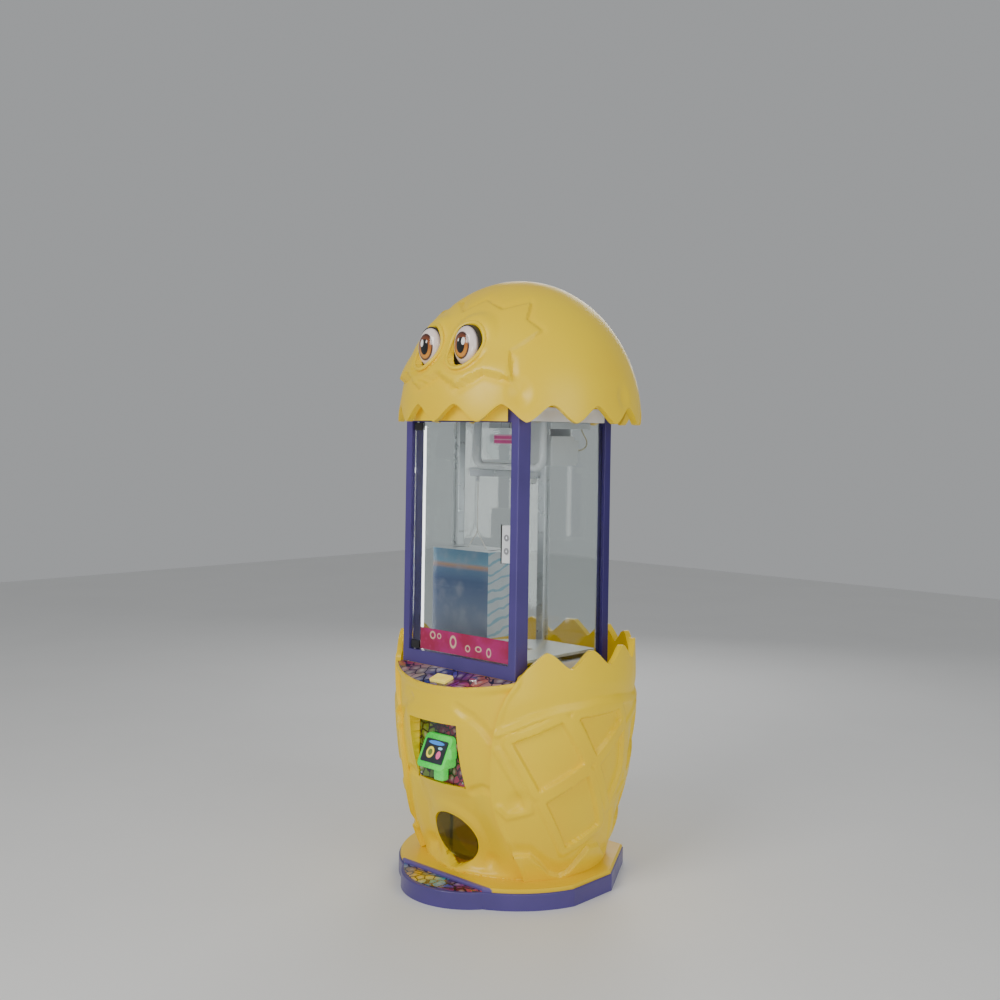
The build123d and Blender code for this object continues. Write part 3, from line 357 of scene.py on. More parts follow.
def paint_eye(name, centre, reach, side):
    """Pearl ball with a ringed amber iris, a black pupil and two printed highlights."""
    # The ball's small emission is painted glow; the eyes are no lamps.
    made = finish(name, (0.86, 0.74, 0.70), (0.78, 0.62, 0.56), 0.12, peel=0.01, coat=0.8, glow=0.06, clouds=18.0)
    tree = made.node_tree
    colour = tree.nodes["Group"].outputs["Colour"]

    def spot(across, up, size_x, size_z, soft=0.05):
        return place_group(tree, front_spot, Centre=(centre.x + across * reach.x, 0, centre.z + up * reach.z),
                           Reach=(size_x * reach.x, 1.0, size_z * reach.z), Soft=soft)

    iris = spot(0.0, 0.0, 0.69, 0.69)
    height = spread(tree, axis_value(tree, 2), centre.z - 0.6 * reach.z, centre.z + 0.6 * reach.z)
    shades = ramp(tree, height, ((0.0, (0.78, 0.34, 0.05)), (0.45, (0.52, 0.17, 0.02)), (1.0, (0.12, 0.022, 0.006))))
    rays = noise_at(tree, tree.nodes.new("ShaderNodeTexCoord").outputs["Object"], 160.0, 5.0, 0.7)
    streaked = blend_colours(tree, math_node(tree, "MULTIPLY", rays, 0.35), shades, (0.20, 0.05, 0.01))
    rim = spread(tree, iris.outputs["Distance"], 0.78, 0.93)
    ringed = blend_colours(tree, rim, streaked, (0.045, 0.010, 0.004))
    colour = blend_colours(tree, iris.outputs["Mask"], colour, ringed)
    colour = blend_colours(tree, spot(0.0, 0.0, 0.36, 0.40).outputs["Mask"], colour, (0.002, 0.002, 0.002))
    big = spot(side * 0.24, 0.20, 0.15, 0.19, 0.15)
    small = spot(side * -0.20, 0.27, 0.06, 0.08, 0.2)
    colour = blend_colours(tree, big.outputs["Mask"], colour, (0.95, 0.93, 0.90))
    colour = blend_colours(tree, small.outputs["Mask"], colour, (0.95, 0.93, 0.90))
    repaint(made, colour, glow=True)
    return made


def paint_reader():
    """Green housing lit from inside: brighter towards its right, with a faint honeycomb."""
    made = finish("reader_green", (0.015, 0.62, 0.05), (0.005, 0.35, 0.02), 0.25, peel=0.05, coat=0.4, glow=0.55,
                  clouds=18.0)
    tree = made.node_tree
    base = tree.nodes["Group"].outputs["Colour"]
    cells = place_group(tree, cobbles, Stone_size=70.0, Joint=0.10)
    near = spread(tree, axis_value(tree, 0), -0.05, 0.07)
    lit = blend_colours(tree, math_node(tree, "MULTIPLY", near, 0.45), base, (0.16, 0.95, 0.14))
    joints = math_node(tree, "SUBTRACT", 1.0, cells.outputs["Stone"])
    repaint(made, blend_colours(tree, math_node(tree, "MULTIPLY", joints, 0.12), lit, (0.0, 0.10, 0.02)), glow=True)
    return made


def paint_screen():
    """Dark screen with a blue band, a yellow round key and a pink one."""
    made = finish("reader_display", (0.008, 0.012, 0.016), (0.02, 0.03, 0.04), 0.1, coat=0.9, glow=0.5, clouds=20.0)
    tree = made.node_tree
    colour = tree.nodes["Group"].outputs["Colour"]
    low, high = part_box("reader_screen")
    middle = (low + high) / 2
    marks = (((0.0, 0.026), (0.036, 0.006), (0.04, 0.25, 0.75)), ((-0.016, -0.004), (0.017, 0.017), (0.85, 0.72, 0.05)),
             ((-0.016, -0.004), (0.010, 0.010), (0.10, 0.16, 0.03)), ((0.024, -0.008), (0.010, 0.012), (0.75, 0.12, 0.30)),
             ((0.024, 0.012), (0.010, 0.004), (0.30, 0.65, 0.80)))
    for (across, up), reach, shade in marks:
        mark = place_group(tree, front_spot, Centre=(middle.x + across, 0, middle.z + up),
                           Reach=(reach[0], 1.0, reach[1]), Soft=0.1)
        colour = blend_colours(tree, mark.outputs["Mask"], colour, shade)
    repaint(made, colour, glow=True)
    return made


def paint_carton():
    """Prize carton: white top, blue to violet front with a warm band, pale side with cyan arcs."""
    made = finish("carton_print", (0.72, 0.76, 0.80), (0.62, 0.66, 0.70), 0.32, peel=0.1, coat=0.2, clouds=16.0)
    tree = made.node_tree
    board = tree.nodes["Group"].outputs["Colour"]
    low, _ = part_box("prize_box_lower")
    _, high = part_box("prize_box_upper")
    facing = tree.nodes.new("ShaderNodeSeparateXYZ")
    tree.links.new(tree.nodes.new("ShaderNodeTexCoord").outputs["Normal"], facing.inputs[0])
    front = spread(tree, facing.outputs[1], -0.4, -0.6)
    side = spread(tree, math_node(tree, "ABSOLUTE", facing.outputs[0]), 0.4, 0.6)
    up = spread(tree, axis_value(tree, 2), low.z, high.z)
    bands = ramp(tree, up, ((0.0, (0.20, 0.24, 0.34)), (0.35, (0.12, 0.17, 0.30)), (0.70, (0.05, 0.10, 0.24)),
                            (0.86, (0.10, 0.20, 0.36)), (0.91, (0.55, 0.28, 0.16)), (0.94, (0.16, 0.34, 0.48)),
                            (1.0, (0.10, 0.24, 0.38))))
    where = tree.nodes.new("ShaderNodeTexCoord").outputs["Object"]
    drift = spread(tree, noise_at(tree, where, 13.0, 3.0), 0.45, 0.75)
    picture = blend_colours(tree, math_node(tree, "MULTIPLY", drift, 0.6), bands, (0.34, 0.36, 0.44))
    arcs = tree.nodes.new("ShaderNodeTexWave")
    arcs.wave_type = "RINGS"
    arcs.rings_direction = "X"
    arcs.inputs["Scale"].default_value = 9.0
    arcs.inputs["Distortion"].default_value = 6.0
    tree.links.new(where, arcs.inputs["Vector"])
    swoosh = math_node(tree, "MULTIPLY", spread(tree, arcs.outputs["Fac"], 0.80, 0.92), 0.6)
    pale = blend_colours(tree, swoosh, board, (0.03, 0.42, 0.62))
    colour = blend_colours(tree, front, board, picture)
    repaint(made, blend_colours(tree, side, colour, pale))
    return made


def paint_label():
    """Plain pink film with one paler band and no lettering."""
    # The label's emission is painted glow; the film is no lamp.
    made = finish("pink_label", (0.80, 0.04, 0.30), (0.66, 0.02, 0.22), 0.3, coat=0.3, glow=0.1, clouds=30.0)
    tree = made.node_tree
    base = tree.nodes["Group"].outputs["Colour"]
    stripes = tree.nodes.new("ShaderNodeTexWave")
    stripes.bands_direction = "Z"
    stripes.inputs["Scale"].default_value = 22.0
    tree.links.new(tree.nodes.new("ShaderNodeTexCoord").outputs["Object"], stripes.inputs["Vector"])
    mask = math_node(tree, "MULTIPLY", spread(tree, stripes.outputs["Fac"], 0.75, 0.9), 0.6)
    repaint(made, blend_colours(tree, mask, base, (0.92, 0.55, 0.70)), glow=True)
    return made


def paint_tray():
    """Yellow skirt under the egg that turns into the plinth's purple over the front lobe."""
    made = finish("tray_paint", (0.86, 0.60, 0.0), (0.80, 0.49, 0.0), 0.36, peel=0.06, clouds=2.2)
    tree = made.node_tree
    lobe = spread(tree, axis_value(tree, 1), -0.338, -0.342)
    repaint(made, blend_colours(tree, lobe, tree.nodes["Group"].outputs["Colour"], (0.12, 0.085, 0.30)))
    return made


tray_paint = paint_tray()
strip_print = paint_strip()
reader_green = paint_reader()
reader_display = paint_screen()
carton_print = paint_carton()
pink_label = paint_label()
eye_finish = {}
for eye, side in (("eyeball_left", -1), ("eyeball_right", 1)):
    low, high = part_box(eye)
    ball_middle = Vector(((low.x + high.x) / 2, 0, (low.z + high.z) / 2))
    eye_finish[eye] = paint_eye(eye + "_paint", ball_middle, (high - low) / 2, side)

dressing = {
    "plinth": purple_powder, "kick_panel": kick_print, "foot_tray": tray_paint, "base_frame": black_steel,
    "rear_shell": yellow_moulding, "rear_door": yellow_moulding, "rear_lock_barrel": polished_chrome,
    "front_fascia": yellow_moulding, "reader_panel": panel_print, "card_reader": reader_green,
    "reader_screen": reader_display, "prize_flap": smoked_acrylic, "flap_pin": brushed_steel,
    "prize_chute": yellow_inner, "control_deck": deck_print, "play_button": button_glow,
    "round_button": polished_chrome, "front_frame": purple_powder, "post_rear_right": purple_powder_shaded,
    "post_rear_left": anodised, "post_left": anodised, "bottom_rails": white_powder, "top_rails": white_powder,
    "glass_right": clear_glass, "glass_rear": clear_glass, "glass_corner": clear_glass, "glass_left": clear_glass,
    "playfield_floor": white_laminate, "roof_plate": white_powder, "glass_door": clear_glass,
    "door_pivots": black_moulding, "pivot_pins": brushed_steel, "instruction_strip": strip_print,
    "lock_box": white_powder, "lock_barrel_upper": polished_chrome, "lock_barrel_lower": polished_chrome,
    "top_housing": white_powder, "hoop_tube": white_powder, "hanging_bar": anodised,
    "acrylic_guard": clear_acrylic, "cutter_box": white_powder, "blade_slider": nylon_white,
    "blade_arm": brushed_steel, "prize_hanger": brushed_steel, "prize_ring": brushed_steel, "prize_string": twine,
    "prize_box_lower": carton_print, "prize_box_upper": carton_print, "eye_sockets": black_moulding,
    "eyeball_left": eye_finish["eyeball_left"], "eyeball_right": eye_finish["eyeball_right"],
    "header_panel": yellow_inner, "light_tubes": lamp_white, "frame_screws": brushed_steel,
    "control_board_case": black_moulding, "power_inlet": black_moulding,
}
for node, made in dressing.items():
    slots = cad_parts[node].data.materials
    slots.clear()
    slots.append(made)


# ------------------------------------------------------------------ shaping helpers
def finished(bm, name, body, material, crease=35):
    """Make a bmesh into a piece with smooth faces and sharp corners that moves with a body."""
    mesh = bpy.data.meshes.new(name)
    bm.to_mesh(mesh)
    bm.free()
    mesh.materials.append(material)
    mesh.shade_smooth()
    mesh.set_sharp_from_angle(angle=math.radians(crease))
    piece = bpy.data.objects.new(name, mesh)
    bpy.context.scene.collection.objects.link(piece)
    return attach(piece, body)


def give_wall(piece, thickness, rim_round):
    """Inward wall and softly rounded rims."""
    wall = piece.modifiers.new("wall", "SOLIDIFY")
    wall.thickness = thickness
    wall.offset = -1
    rim = piece.modifiers.new("rim", "BEVEL")
    rim.limit_method = "ANGLE"
    rim.angle_limit = math.radians(50)
    rim.width = rim_round
    rim.segments = 3
    rim.harden_normals = False


def ease(low, high, value):
    """Smooth step from 0 at low to 1 at high."""
    part = min(max((value - low) / (high - low), 0.0), 1.0)
    return part * part * (3 - 2 * part)


def line_distance(point, line):
    """Distance from a point to an open or closed run of points."""
    best = 1e9
    for start, end in zip(line, line[1:]):
        along = (end[0] - start[0], end[1] - start[1])
        length = along[0] ** 2 + along[1] ** 2
        part = ((point[0] - start[0]) * along[0] + (point[1] - start[1]) * along[1]) / length if length else 0.0
        part = min(max(part, 0.0), 1.0)
        best = min(best, math.hypot(point[0] - start[0] - part * along[0], point[1] - start[1] - part * along[1]))
    return best


def depth_inside(point, outline):
    """Signed distance to a closed outline: positive inside."""
    inside = False
    for start, end in zip(outline, outline[1:]):
        if (start[1] > point[1]) != (end[1] > point[1]):
            if point[0] < start[0] + (point[1] - start[1]) / (end[1] - start[1]) * (end[0] - start[0]):
                inside = not inside
    distance = line_distance(point, outline)
    return distance if inside else -distance


def round_the_egg(angle, radius, height):
    """Point at an angle from the front around the egg, from millimetres to metres."""
    turn = math.radians(angle)
    return Vector((radius * math.sin(turn), -radius * math.cos(turn), height)) * MM


def wave(angle, valley, peak, peak_shift):
    """Scalloped edge height between a valley and a peak, sixteen to a turn."""
    part = abs((angle + peak_shift) % 22.5 - 11.25) / 11.25
    straight = 1 - part
    rounded = 0.5 * (1 + math.cos(math.pi * part))
    return valley + (peak - valley) * (0.45 * straight + 0.55 * rounded)


def flat_map(points):
    """Closed outline of (angle, height) in millimetres along the surface."""
    flat = [(angle * EGG_TURN, height) for angle, height in points]
    return flat + flat[:1]


EGG_TURN = 6.9

# ------------------------------------------------------------------ dome with its cracked patch, brows and teeth
half_patch = ((0, 1966), (14.3, 2008), (29.3, 1972), (48.8, 1999), (45.1, 1936), (53.3, 1898), (36.5, 1824),
              (38.0, 1728), (24.5, 1752), (12.5, 1704), (0, 1751))
patch = flat_map(half_patch + tuple((-angle, height) for angle, height in half_patch[-2:0:-1]))
EYE_X, EYE_Z = 86.0, 1846.0
dents = ((41.7, 1690, 52, 15), (97.0, 1684, 44, 10), (-41.7, 1690, 52, 15), (-97.0, 1684, 44, 10))


def dome_reach(height):
    """Dome's outer radius at a height."""
    part = min(max((height - 1592) / 508, 0.0), 1.0)
    return 434 * math.sqrt(max(1 - part * part, 0.0))


def dome_relief(angle, height, across):
    """How far the dome stands out beyond its plain ellipse."""
    spot = (angle * EGG_TURN, height)
    lift = 0.0
    if abs(angle) < 62 and 1660 < height < 2040:
        inside = depth_inside(spot, patch)
        thick = 19 - 12 * ease(1740, 1850, height)
        lift += thick * ease(-2.0, 6.0, inside) - 4.5 * ease(-30, -3, inside) * (1 - ease(-3, 2, inside))
        for side in (-1, 1):
            far = math.hypot((across - side * EYE_X) / 59, (height - EYE_Z) / 71)
            brow = ease(1.7, 1.15, far) * (4 + 12 * ease(1850, 1915, height))
            under = 7 * ease(1.5, 1.3, far) * ease(1.08, 1.25, far) * ease(1835, 1790, height)
            lift += brow - 1.4 * under
        bridge = ease(60, 10, abs(across)) * ease(95, 30, abs(height - 1860))
        lift -= 8 * bridge
    for place, up, reach, deep in dents:
        away = math.hypot((angle - place) * EGG_TURN, (height - up) * 0.8)
        lift -= deep * ease(reach, 0, away)
    return lift


def raise_dome():
    """Dome skin from a grid wrapped around the axis, scalloped below, with the eye openings cut out."""
    bm = bmesh.new()
    bmesh.ops.create_grid(bm, x_segments=330, y_segments=96, size=0.5)
    for vert in bm.verts:
        angle = 360 * vert.co.x
        edge = wave(angle, 1592, 1652, 0.0)
        start = math.asin((edge - 1592) / 508)
        turn = start + (math.pi / 2 - start) * (vert.co.y + 0.5)
        radius, height = 434 * math.cos(turn), 1592 + 508 * math.sin(turn)
        across = radius * math.sin(math.radians(angle))
        if abs(angle) < 125:
            lift = dome_relief(angle, height, across)
            radius += lift * math.cos(turn)
            height += lift * math.sin(turn)
        vert.co = round_the_egg(angle, max(radius, 0.0), height)
    bmesh.ops.remove_doubles(bm, verts=bm.verts, dist=2e-5)
    gone = []
    for face in bm.faces:
        spot = face.calc_center_median() / MM
        far = min(math.hypot((spot.x - side * EYE_X) / 60, (spot.z - EYE_Z) / 72) for side in (-1, 1))
        if spot.y < 0 and far < 1:
            gone.append(face)
    bmesh.ops.delete(bm, geom=gone, context="FACES")
    for vert in bm.verts:
        if vert.is_boundary and vert.co.y < 0 and vert.co.z > 1.7:
            for side in (-1, 1):
                off = Vector((vert.co.x / MM - side * EYE_X, vert.co.z / MM - EYE_Z))
                far = math.hypot(off.x / 61, off.y / 73)
                if far < 1.35:
                    vert.co.x = (side * EYE_X + off.x / far) * MM
                    vert.co.z = (EYE_Z + off.y / far) * MM
    bmesh.ops.recalc_face_normals(bm, faces=bm.faces)
    piece = finished(bm, "dome", "cabinet", yellow_moulding, 60)
    give_wall(piece, 0.022, 0.004)
    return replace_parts(piece, "dome_shell")


dome = raise_dome()


def roll_eye_rim(name, side, gap, thick, lift, stand, material):
    """Soft ring that follows the dome around an eye."""
    bm = bmesh.new()
    bmesh.ops.create_circle(bm, segments=14, radius=1.0, matrix=Matrix.Translation((10, 0, 0)) @ Matrix.Rotation(
        math.pi / 2, 4, "X"))
    bmesh.ops.spin(bm, geom=bm.verts[:] + bm.edges[:], angle=math.tau, steps=72, axis=(0, 0, 1), cent=(0, 0, 0),
                   use_merge=True)
    for vert in bm.verts:
        turn = math.atan2(vert.co.y, vert.co.x)
        out = math.hypot(vert.co.x, vert.co.y) - 10
        top = ease(-0.2, 0.9, math.sin(turn))
        wide = thick * (1 + 0.5 * top)
        across = side * EYE_X + (59 + gap + out * wide) * math.cos(turn)
        height = EYE_Z + (71 + gap + out * wide) * math.sin(turn)
        middle_x = side * EYE_X + (59 + gap) * math.cos(turn)
        middle_z = EYE_Z + (71 + gap) * math.sin(turn)
        lean = dome_relief(math.degrees(math.asin(middle_x / 400)), middle_z, middle_x)
        surface = math.sqrt((dome_reach(middle_z) + lean * lift) ** 2 - middle_x ** 2)
        vert.co = Vector((across, -surface - stand * (1 + 0.5 * top) + vert.co.z * wide, height)) * MM
    bmesh.ops.recalc_face_normals(bm, faces=bm.faces)
    return finished(bm, name, "cabinet", material, 60)


for label, side in (("left", -1), ("right", 1)):
    roll_eye_rim("eye_rim_" + label, side, 6.0, 6.0, 0.95, 1.0, yellow_moulding)

# ------------------------------------------------------------------ side shells with raised cracks and a wavy foot
cells = (
    ((40.5, 551), (63.4, 615), (75.5, 470), (53.5, 386)),
    ((71.2, 624), (96.5, 629), (99.5, 592), (82.0, 494)),
    ((85.6, 455), (101.8, 552), (104.5, 420), (97.0, 306)),
    ((57.0, 346), (78.5, 425), (91.8, 238), (70.4, 181)),
    ((108.0, 560), (124.0, 600), (133.0, 470), (112.0, 395)),
    ((104.0, 296), (126.0, 380), (134.0, 225), (112.0, 176)),
)
cell_outlines = [flat_map(cell) for cell in cells]
cracks = (
    ((34.1, 582), (50.0, 632), (61.4, 654), (82.1, 669), (100.0, 660), (118.8, 641), (140.0, 655), (150.0, 650)),
    ((34.1, 523), (40.0, 450), (46.9, 366)),
    ((35.0, 330), (38.7, 303), (49.5, 322), (46.9, 366)),
)
crack_lines = [[(angle * EGG_TURN, height) for angle, height in crack] for crack in cracks]
foot_points = ((25.1, 113), (33.3, 148), (40.2, 162), (50.8, 162), (56.7, 130), (62.9, 92), (70.6, 74), (77.1, 86),
               (82.4, 124), (88.3, 159), (98.2, 154), (108.0, 110), (119.9, 76), (130.0, 100), (141.0, 150),
               (150.5, 158))
PARTING_LINE = ((-20, 50.0), (68, 48.0), (187, 40.2), (257, 35.3), (326, 32.1), (394, 30.8), (495, 31.0), (611, 33.0),
                (694, 37.0), (743, 41.5), (800, 44.0))


def follow(points, value):
    """Straight interpolation through (value, result) points."""
    for (start, low), (end, high) in zip(points, points[1:]):
        if value <= end:
            return low + (high - low) * min(max((value - start) / (end - start), 0.0), 1.0)
    return points[-1][1]


FASCIA_LINE = ((60, 318), (76, 300), (92, 284), (120, 278), (165, 289), (240, 318), (350, 364), (450, 398), (540, 417),
               (620, 425), (680, 425), (746, 422), (800, 420))
folds = (((15.0, 655), (22.0, 628), (27.5, 592), (31.0, 560)), ((20.0, 372), (26.0, 388), (31.5, 380)))


def smooth_follow(points, value):
    """Smooth curve through (value, result) points."""
    for index in range(1, len(points) - 2):
        start, end = points[index], points[index + 1]
        if value <= end[0] or index == len(points) - 3:
            part = min(max((value - start[0]) / (end[0] - start[0]), 0.0), 1.0)
            before = (end[1] - points[index - 1][1]) / (end[0] - points[index - 1][0]) * (end[0] - start[0])
            after = (points[index + 2][1] - start[1]) / (points[index + 2][0] - start[0]) * (end[0] - start[0])
            square, cube = part * part, part ** 3
            return ((2 * cube - 3 * square + 1) * start[1] + (cube - 2 * square + part) * before
                    + (3 * square - 2 * cube) * end[1] + (cube - square) * after)
    return points[-1][1]


def side_relief(angle, height):
    """How far the side shell stands out beyond the plain egg."""
    spot = (angle * EGG_TURN, height)
    lift = -6.0
    inside = max(depth_inside(spot, outline) for outline in cell_outlines)
    frame_near = ease(-34, -26, inside) * (1 - ease(-2, 4, inside))
    near = min(line_distance(spot, line) for line in crack_lines)
    lift -= 8.0 * ease(-2, 5, inside)
    lift += 5.5 * max(frame_near, ease(17, 9, near))
    ledge = line_distance(spot, crack_lines[0])
    above = ease(-8, 8, height - follow([(x / EGG_TURN, z) for x, z in crack_lines[0]], angle))
    lift -= 5.0 * above * ease(70, 10, ledge)
    foot = follow(foot_points, angle)
    lift += 6.0 * ease(10, -8, height - foot) - 10.0 * ease(-6, 8, height - foot) * ease(56, 8, height - foot)
    pit = math.hypot((angle - 44.0) * EGG_TURN, height - 356)
    lift -= 13.0 * ease(48, 0, pit)
    lift += 4.0 * ease(3.4, 1.2, angle - smooth_follow(PARTING_LINE, height))
    return lift


def deck_rim(angle, radius):
    """Height of the deck's lip at an angle and radius."""
    return 751 + (304 - radius * math.cos(math.radians(angle))) * math.tan(math.radians(16.07))


def side_top(angle):
    """Rim height: along the deck's lip in front, scalloped behind it."""
    lip = deck_rim(angle, 432)
    return lip + (wave(angle, 786, 843, 0.0) - lip) * ease(41.0, 47.5, angle)


def raise_side(name, node, side):
    """One side shell from a grid bent around the egg."""
    bm = bmesh.new()
    bmesh.ops.create_grid(bm, x_segments=168, y_segments=124, size=0.5)
    for vert in bm.verts:
        height = 68 + 675 * (vert.co.y + 0.5)
        front = smooth_follow(PARTING_LINE, height)
        angle = front + (150.05 - front) * (vert.co.x + 0.5)
        height = 68 + (side_top(angle) - 68) * (vert.co.y + 0.5)
        radius = 434 * math.sqrt(1 - ((height - 700) / 960) ** 2) + side_relief(angle, height)
        vert.co = round_the_egg(side * angle, min(radius, 433.5), height)
    bmesh.ops.recalc_face_normals(bm, faces=bm.faces)
    bm.faces.ensure_lookup_table()
    sample = bm.faces[len(bm.faces) // 2]
    if sample.normal.dot(Vector((*sample.calc_center_median().xy, 0))) < 0:
        bmesh.ops.reverse_faces(bm, faces=bm.faces)
    piece = finished(bm, name, "cabinet", yellow_moulding, 60)
    give_wall(piece, 0.020, 0.003)
    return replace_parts(piece, node)


RECESS_LOW, RECESS_HIGH = 381.0, 595.0
RECESS_HALF = 111.0
PANEL_Y = -366.0
PRIZE_CENTRE = Vector((0, -296, 182))
PRIZE_TURN = math.radians(17)
PRIZE_FACING = Vector((0, -math.cos(PRIZE_TURN), -math.sin(PRIZE_TURN)))
PRIZE_UP = Vector((0, -math.sin(PRIZE_TURN), math.cos(PRIZE_TURN)))


def fascia_reach(angle, height):
    """Front wall's radius: the undercut line in the middle, swelling out to meet the side shells."""
    parting = smooth_follow(PARTING_LINE, height)
    middle = smooth_follow(FASCIA_LINE, height)
    side = 434 * math.sqrt(1 - ((height - 700) / 960) ** 2) - 17
    part = ease(19.0, parting + 1.5, abs(angle))
    radius = middle + (side - middle) * part
    spot = (abs(angle) * EGG_TURN, height)
    for fold in folds:
        radius -= 8.0 * ease(24, 0, line_distance(spot, [(turn * EGG_TURN, z) for turn, z in fold]))
    off_x = max(abs(spot[0]) - RECESS_HALF, 0.0)
    off_z = max(abs(height - 488) - 107, 0.0)
    radius += 6.0 * ease(46, 4, math.hypot(off_x, off_z))
    radius += 7.0 * ease(44, 4, abs(math.hypot(radius * math.sin(math.radians(angle)), (height - 182) / 0.97) - 104))
    radius -= 12.0 * ease(40, 0, math.hypot((abs(angle) - 29.0) * 5.6, height - 122))
    rolled = ease(34, 9, deck_rim(angle, 424) - height)
    return radius + (max(radius, 429.0) - radius) * rolled


def opening_edges(bm):
    """Open edges around the recess and the prize door, without the wall's own outer edges."""
    return [edge for edge in bm.edges if edge.is_boundary and abs(edge.verts[0].co.x) < 0.125
            and 0.075 < edge.verts[0].co.z < 0.61 and 0.075 < edge.verts[1].co.z < 0.61]


def raise_fascia():
    """Front wall from a bent grid, with the reader recess and the prize door cut out and lined."""
    bm = bmesh.new()
    bmesh.ops.create_grid(bm, x_segments=150, y_segments=132, size=0.5)
    for vert in bm.verts:
        height = 68 + 655 * (vert.co.y + 0.5)
        angle = 2 * vert.co.x * (smooth_follow(PARTING_LINE, height) + 2.2)
        height = 68 + (deck_rim(angle, 424) - 68) * (vert.co.y + 0.5)
        vert.co = round_the_egg(angle, fascia_reach(angle, height), height)
    for place, normal in (((RECESS_HALF, 0, 0), (1, 0, 0)), ((-RECESS_HALF, 0, 0), (1, 0, 0)),
                          ((0, 0, RECESS_LOW), (0, 0, 1)), ((0, 0, RECESS_HIGH), (0, 0, 1))):
        bmesh.ops.bisect_plane(bm, geom=bm.verts[:] + bm.edges[:] + bm.faces[:], dist=1e-6,
                               plane_co=Vector(place) * MM, plane_no=normal)
    gone = []
    for face in bm.faces:
        spot = face.calc_center_median() / MM
        off = spot - PRIZE_CENTRE
        if abs(spot.x) < RECESS_HALF and RECESS_LOW < spot.z < RECESS_HIGH:
            gone.append(face)
        elif math.hypot(off.x, off.dot(PRIZE_UP)) < 96:
            gone.append(face)
    bmesh.ops.delete(bm, geom=gone, context="FACES")
    bmesh.ops.recalc_face_normals(bm, faces=bm.faces)
    bm.faces.ensure_lookup_table()
    if bm.faces[0].normal.y > 0:
        bmesh.ops.reverse_faces(bm, faces=bm.faces)
    for vert in {vert for edge in opening_edges(bm) for vert in edge.verts}:
        off = vert.co / MM - PRIZE_CENTRE
        far = math.hypot(off.x, off.dot(PRIZE_UP))
        if far < 115:
            vert.co += (off.x * (97 / far - 1) * Vector((1, 0, 0)) + off.dot(PRIZE_UP) * (97 / far - 1) * PRIZE_UP) * MM
    crowded = list({vert for edge in opening_edges(bm) for vert in edge.verts if vert.co.z < 0.30})
    bmesh.ops.remove_doubles(bm, verts=crowded, dist=0.0042)
    lined = bmesh.ops.extrude_edge_only(bm, edges=opening_edges(bm))
    for vert in (part for part in lined["geom"] if isinstance(part, bmesh.types.BMVert)):
        if vert.co.z > 0.34:
            vert.co.y = PANEL_Y * MM
        else:
            vert.co -= PRIZE_FACING * 26 * MM
    bmesh.ops.recalc_face_normals(bm, faces=bm.faces)
    bm.faces.ensure_lookup_table()
    if bm.faces[0].normal.y > 0:
        bmesh.ops.reverse_faces(bm, faces=bm.faces)
    piece = finished(bm, "front_wall", "cabinet", yellow_moulding, 50)
    give_wall(piece, 0.006, 0.0015)
    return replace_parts(piece, "front_fascia")


raise_fascia()
raise_side("side_right", "side_shell_right", 1)
raise_side("side_left", "side_shell_left", -1)

# ------------------------------------------------------------------ screws and small trim
def roll_ring(name, body, centre, normal, radius, section, material, steps=72):
    """Round-section ring at a place, facing a direction, in millimetres."""
    bm = bmesh.new()
    bmesh.ops.create_circle(bm, segments=14, radius=section, matrix=Matrix.Translation((radius, 0, 0)) @ Matrix.Rotation(
        math.pi / 2, 4, "X"))
    bmesh.ops.spin(bm, geom=bm.verts[:] + bm.edges[:], angle=math.tau, steps=steps, axis=(0, 0, 1), cent=(0, 0, 0),
                   use_merge=True)
    turn = Vector(normal).to_track_quat("Z", "Y").to_matrix().to_4x4()
    bmesh.ops.transform(bm, verts=bm.verts, matrix=Matrix.Scale(MM, 4) @ Matrix.Translation(centre) @ turn)
    bmesh.ops.recalc_face_normals(bm, faces=bm.faces)
    return finished(bm, name, body, material, 60)


def rounded_block(name, body, low, high, material, rounding, segments=3):
    """Block between two corners in millimetres with rounded edges."""
    low, high = Vector(low), Vector(high)
    bm = bmesh.new()
    bmesh.ops.create_cube(bm, size=1.0)
    size = high - low
    bmesh.ops.transform(bm, verts=bm.verts, matrix=Matrix.Translation((low + high) / 2) @ Matrix.Diagonal(
        (size.x, size.y, size.z, 1)))
    bmesh.ops.bevel(bm, geom=bm.edges[:], offset=rounding, segments=segments, affect="EDGES", profile=0.5, material=-1)
    bmesh.ops.transform(bm, verts=bm.verts, matrix=Matrix.Scale(MM, 4))
    return finished(bm, name, body, material, 40)


def domed_screw(name, body, centre, normal, radius, material):
    """Round screw head with a round socket."""
    bm = bmesh.new()
    bmesh.ops.create_cone(bm, cap_ends=True, segments=24, radius1=radius, radius2=radius, depth=2.4)
    top = max(bm.faces, key=lambda face: face.calc_center_median().z)
    bmesh.ops.bevel(bm, geom=list(top.edges), offset=0.9, segments=2, affect="EDGES", profile=0.5, material=-1)
    top = max(bm.faces, key=lambda face: (face.calc_center_median().z, face.calc_area()))
    inner = bmesh.ops.inset_region(bm, faces=[top], thickness=radius * 0.42)
    bmesh.ops.translate(bm, verts=top.verts[:], vec=(0, 0, -1.2))
    del inner
    turn = Vector(normal).to_track_quat("Z", "Y").to_matrix().to_4x4()
    bmesh.ops.transform(bm, verts=bm.verts, matrix=Matrix.Scale(MM, 4) @ Matrix.Translation(centre) @ turn)
    return finished(bm, name, body, material, 40)


lip_centre = PRIZE_CENTRE - 3.0 * PRIZE_FACING

panel_low, panel_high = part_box("reader_panel")
for index, (x, z) in enumerate(((-1, -1), (1, -1), (-1, 1), (1, 1))):
    across = 0 if x == 0 else x * (panel_high.x / MM - 12)
    up = (panel_low.z + panel_high.z) / 2 / MM + z * ((panel_high.z - panel_low.z) / 2 / MM - 12)
    domed_screw("panel_screw_%d" % index, "cabinet", (across, panel_low.y / MM - 0.6, up), (0, -1, 0), 4.2,
                brushed_steel)

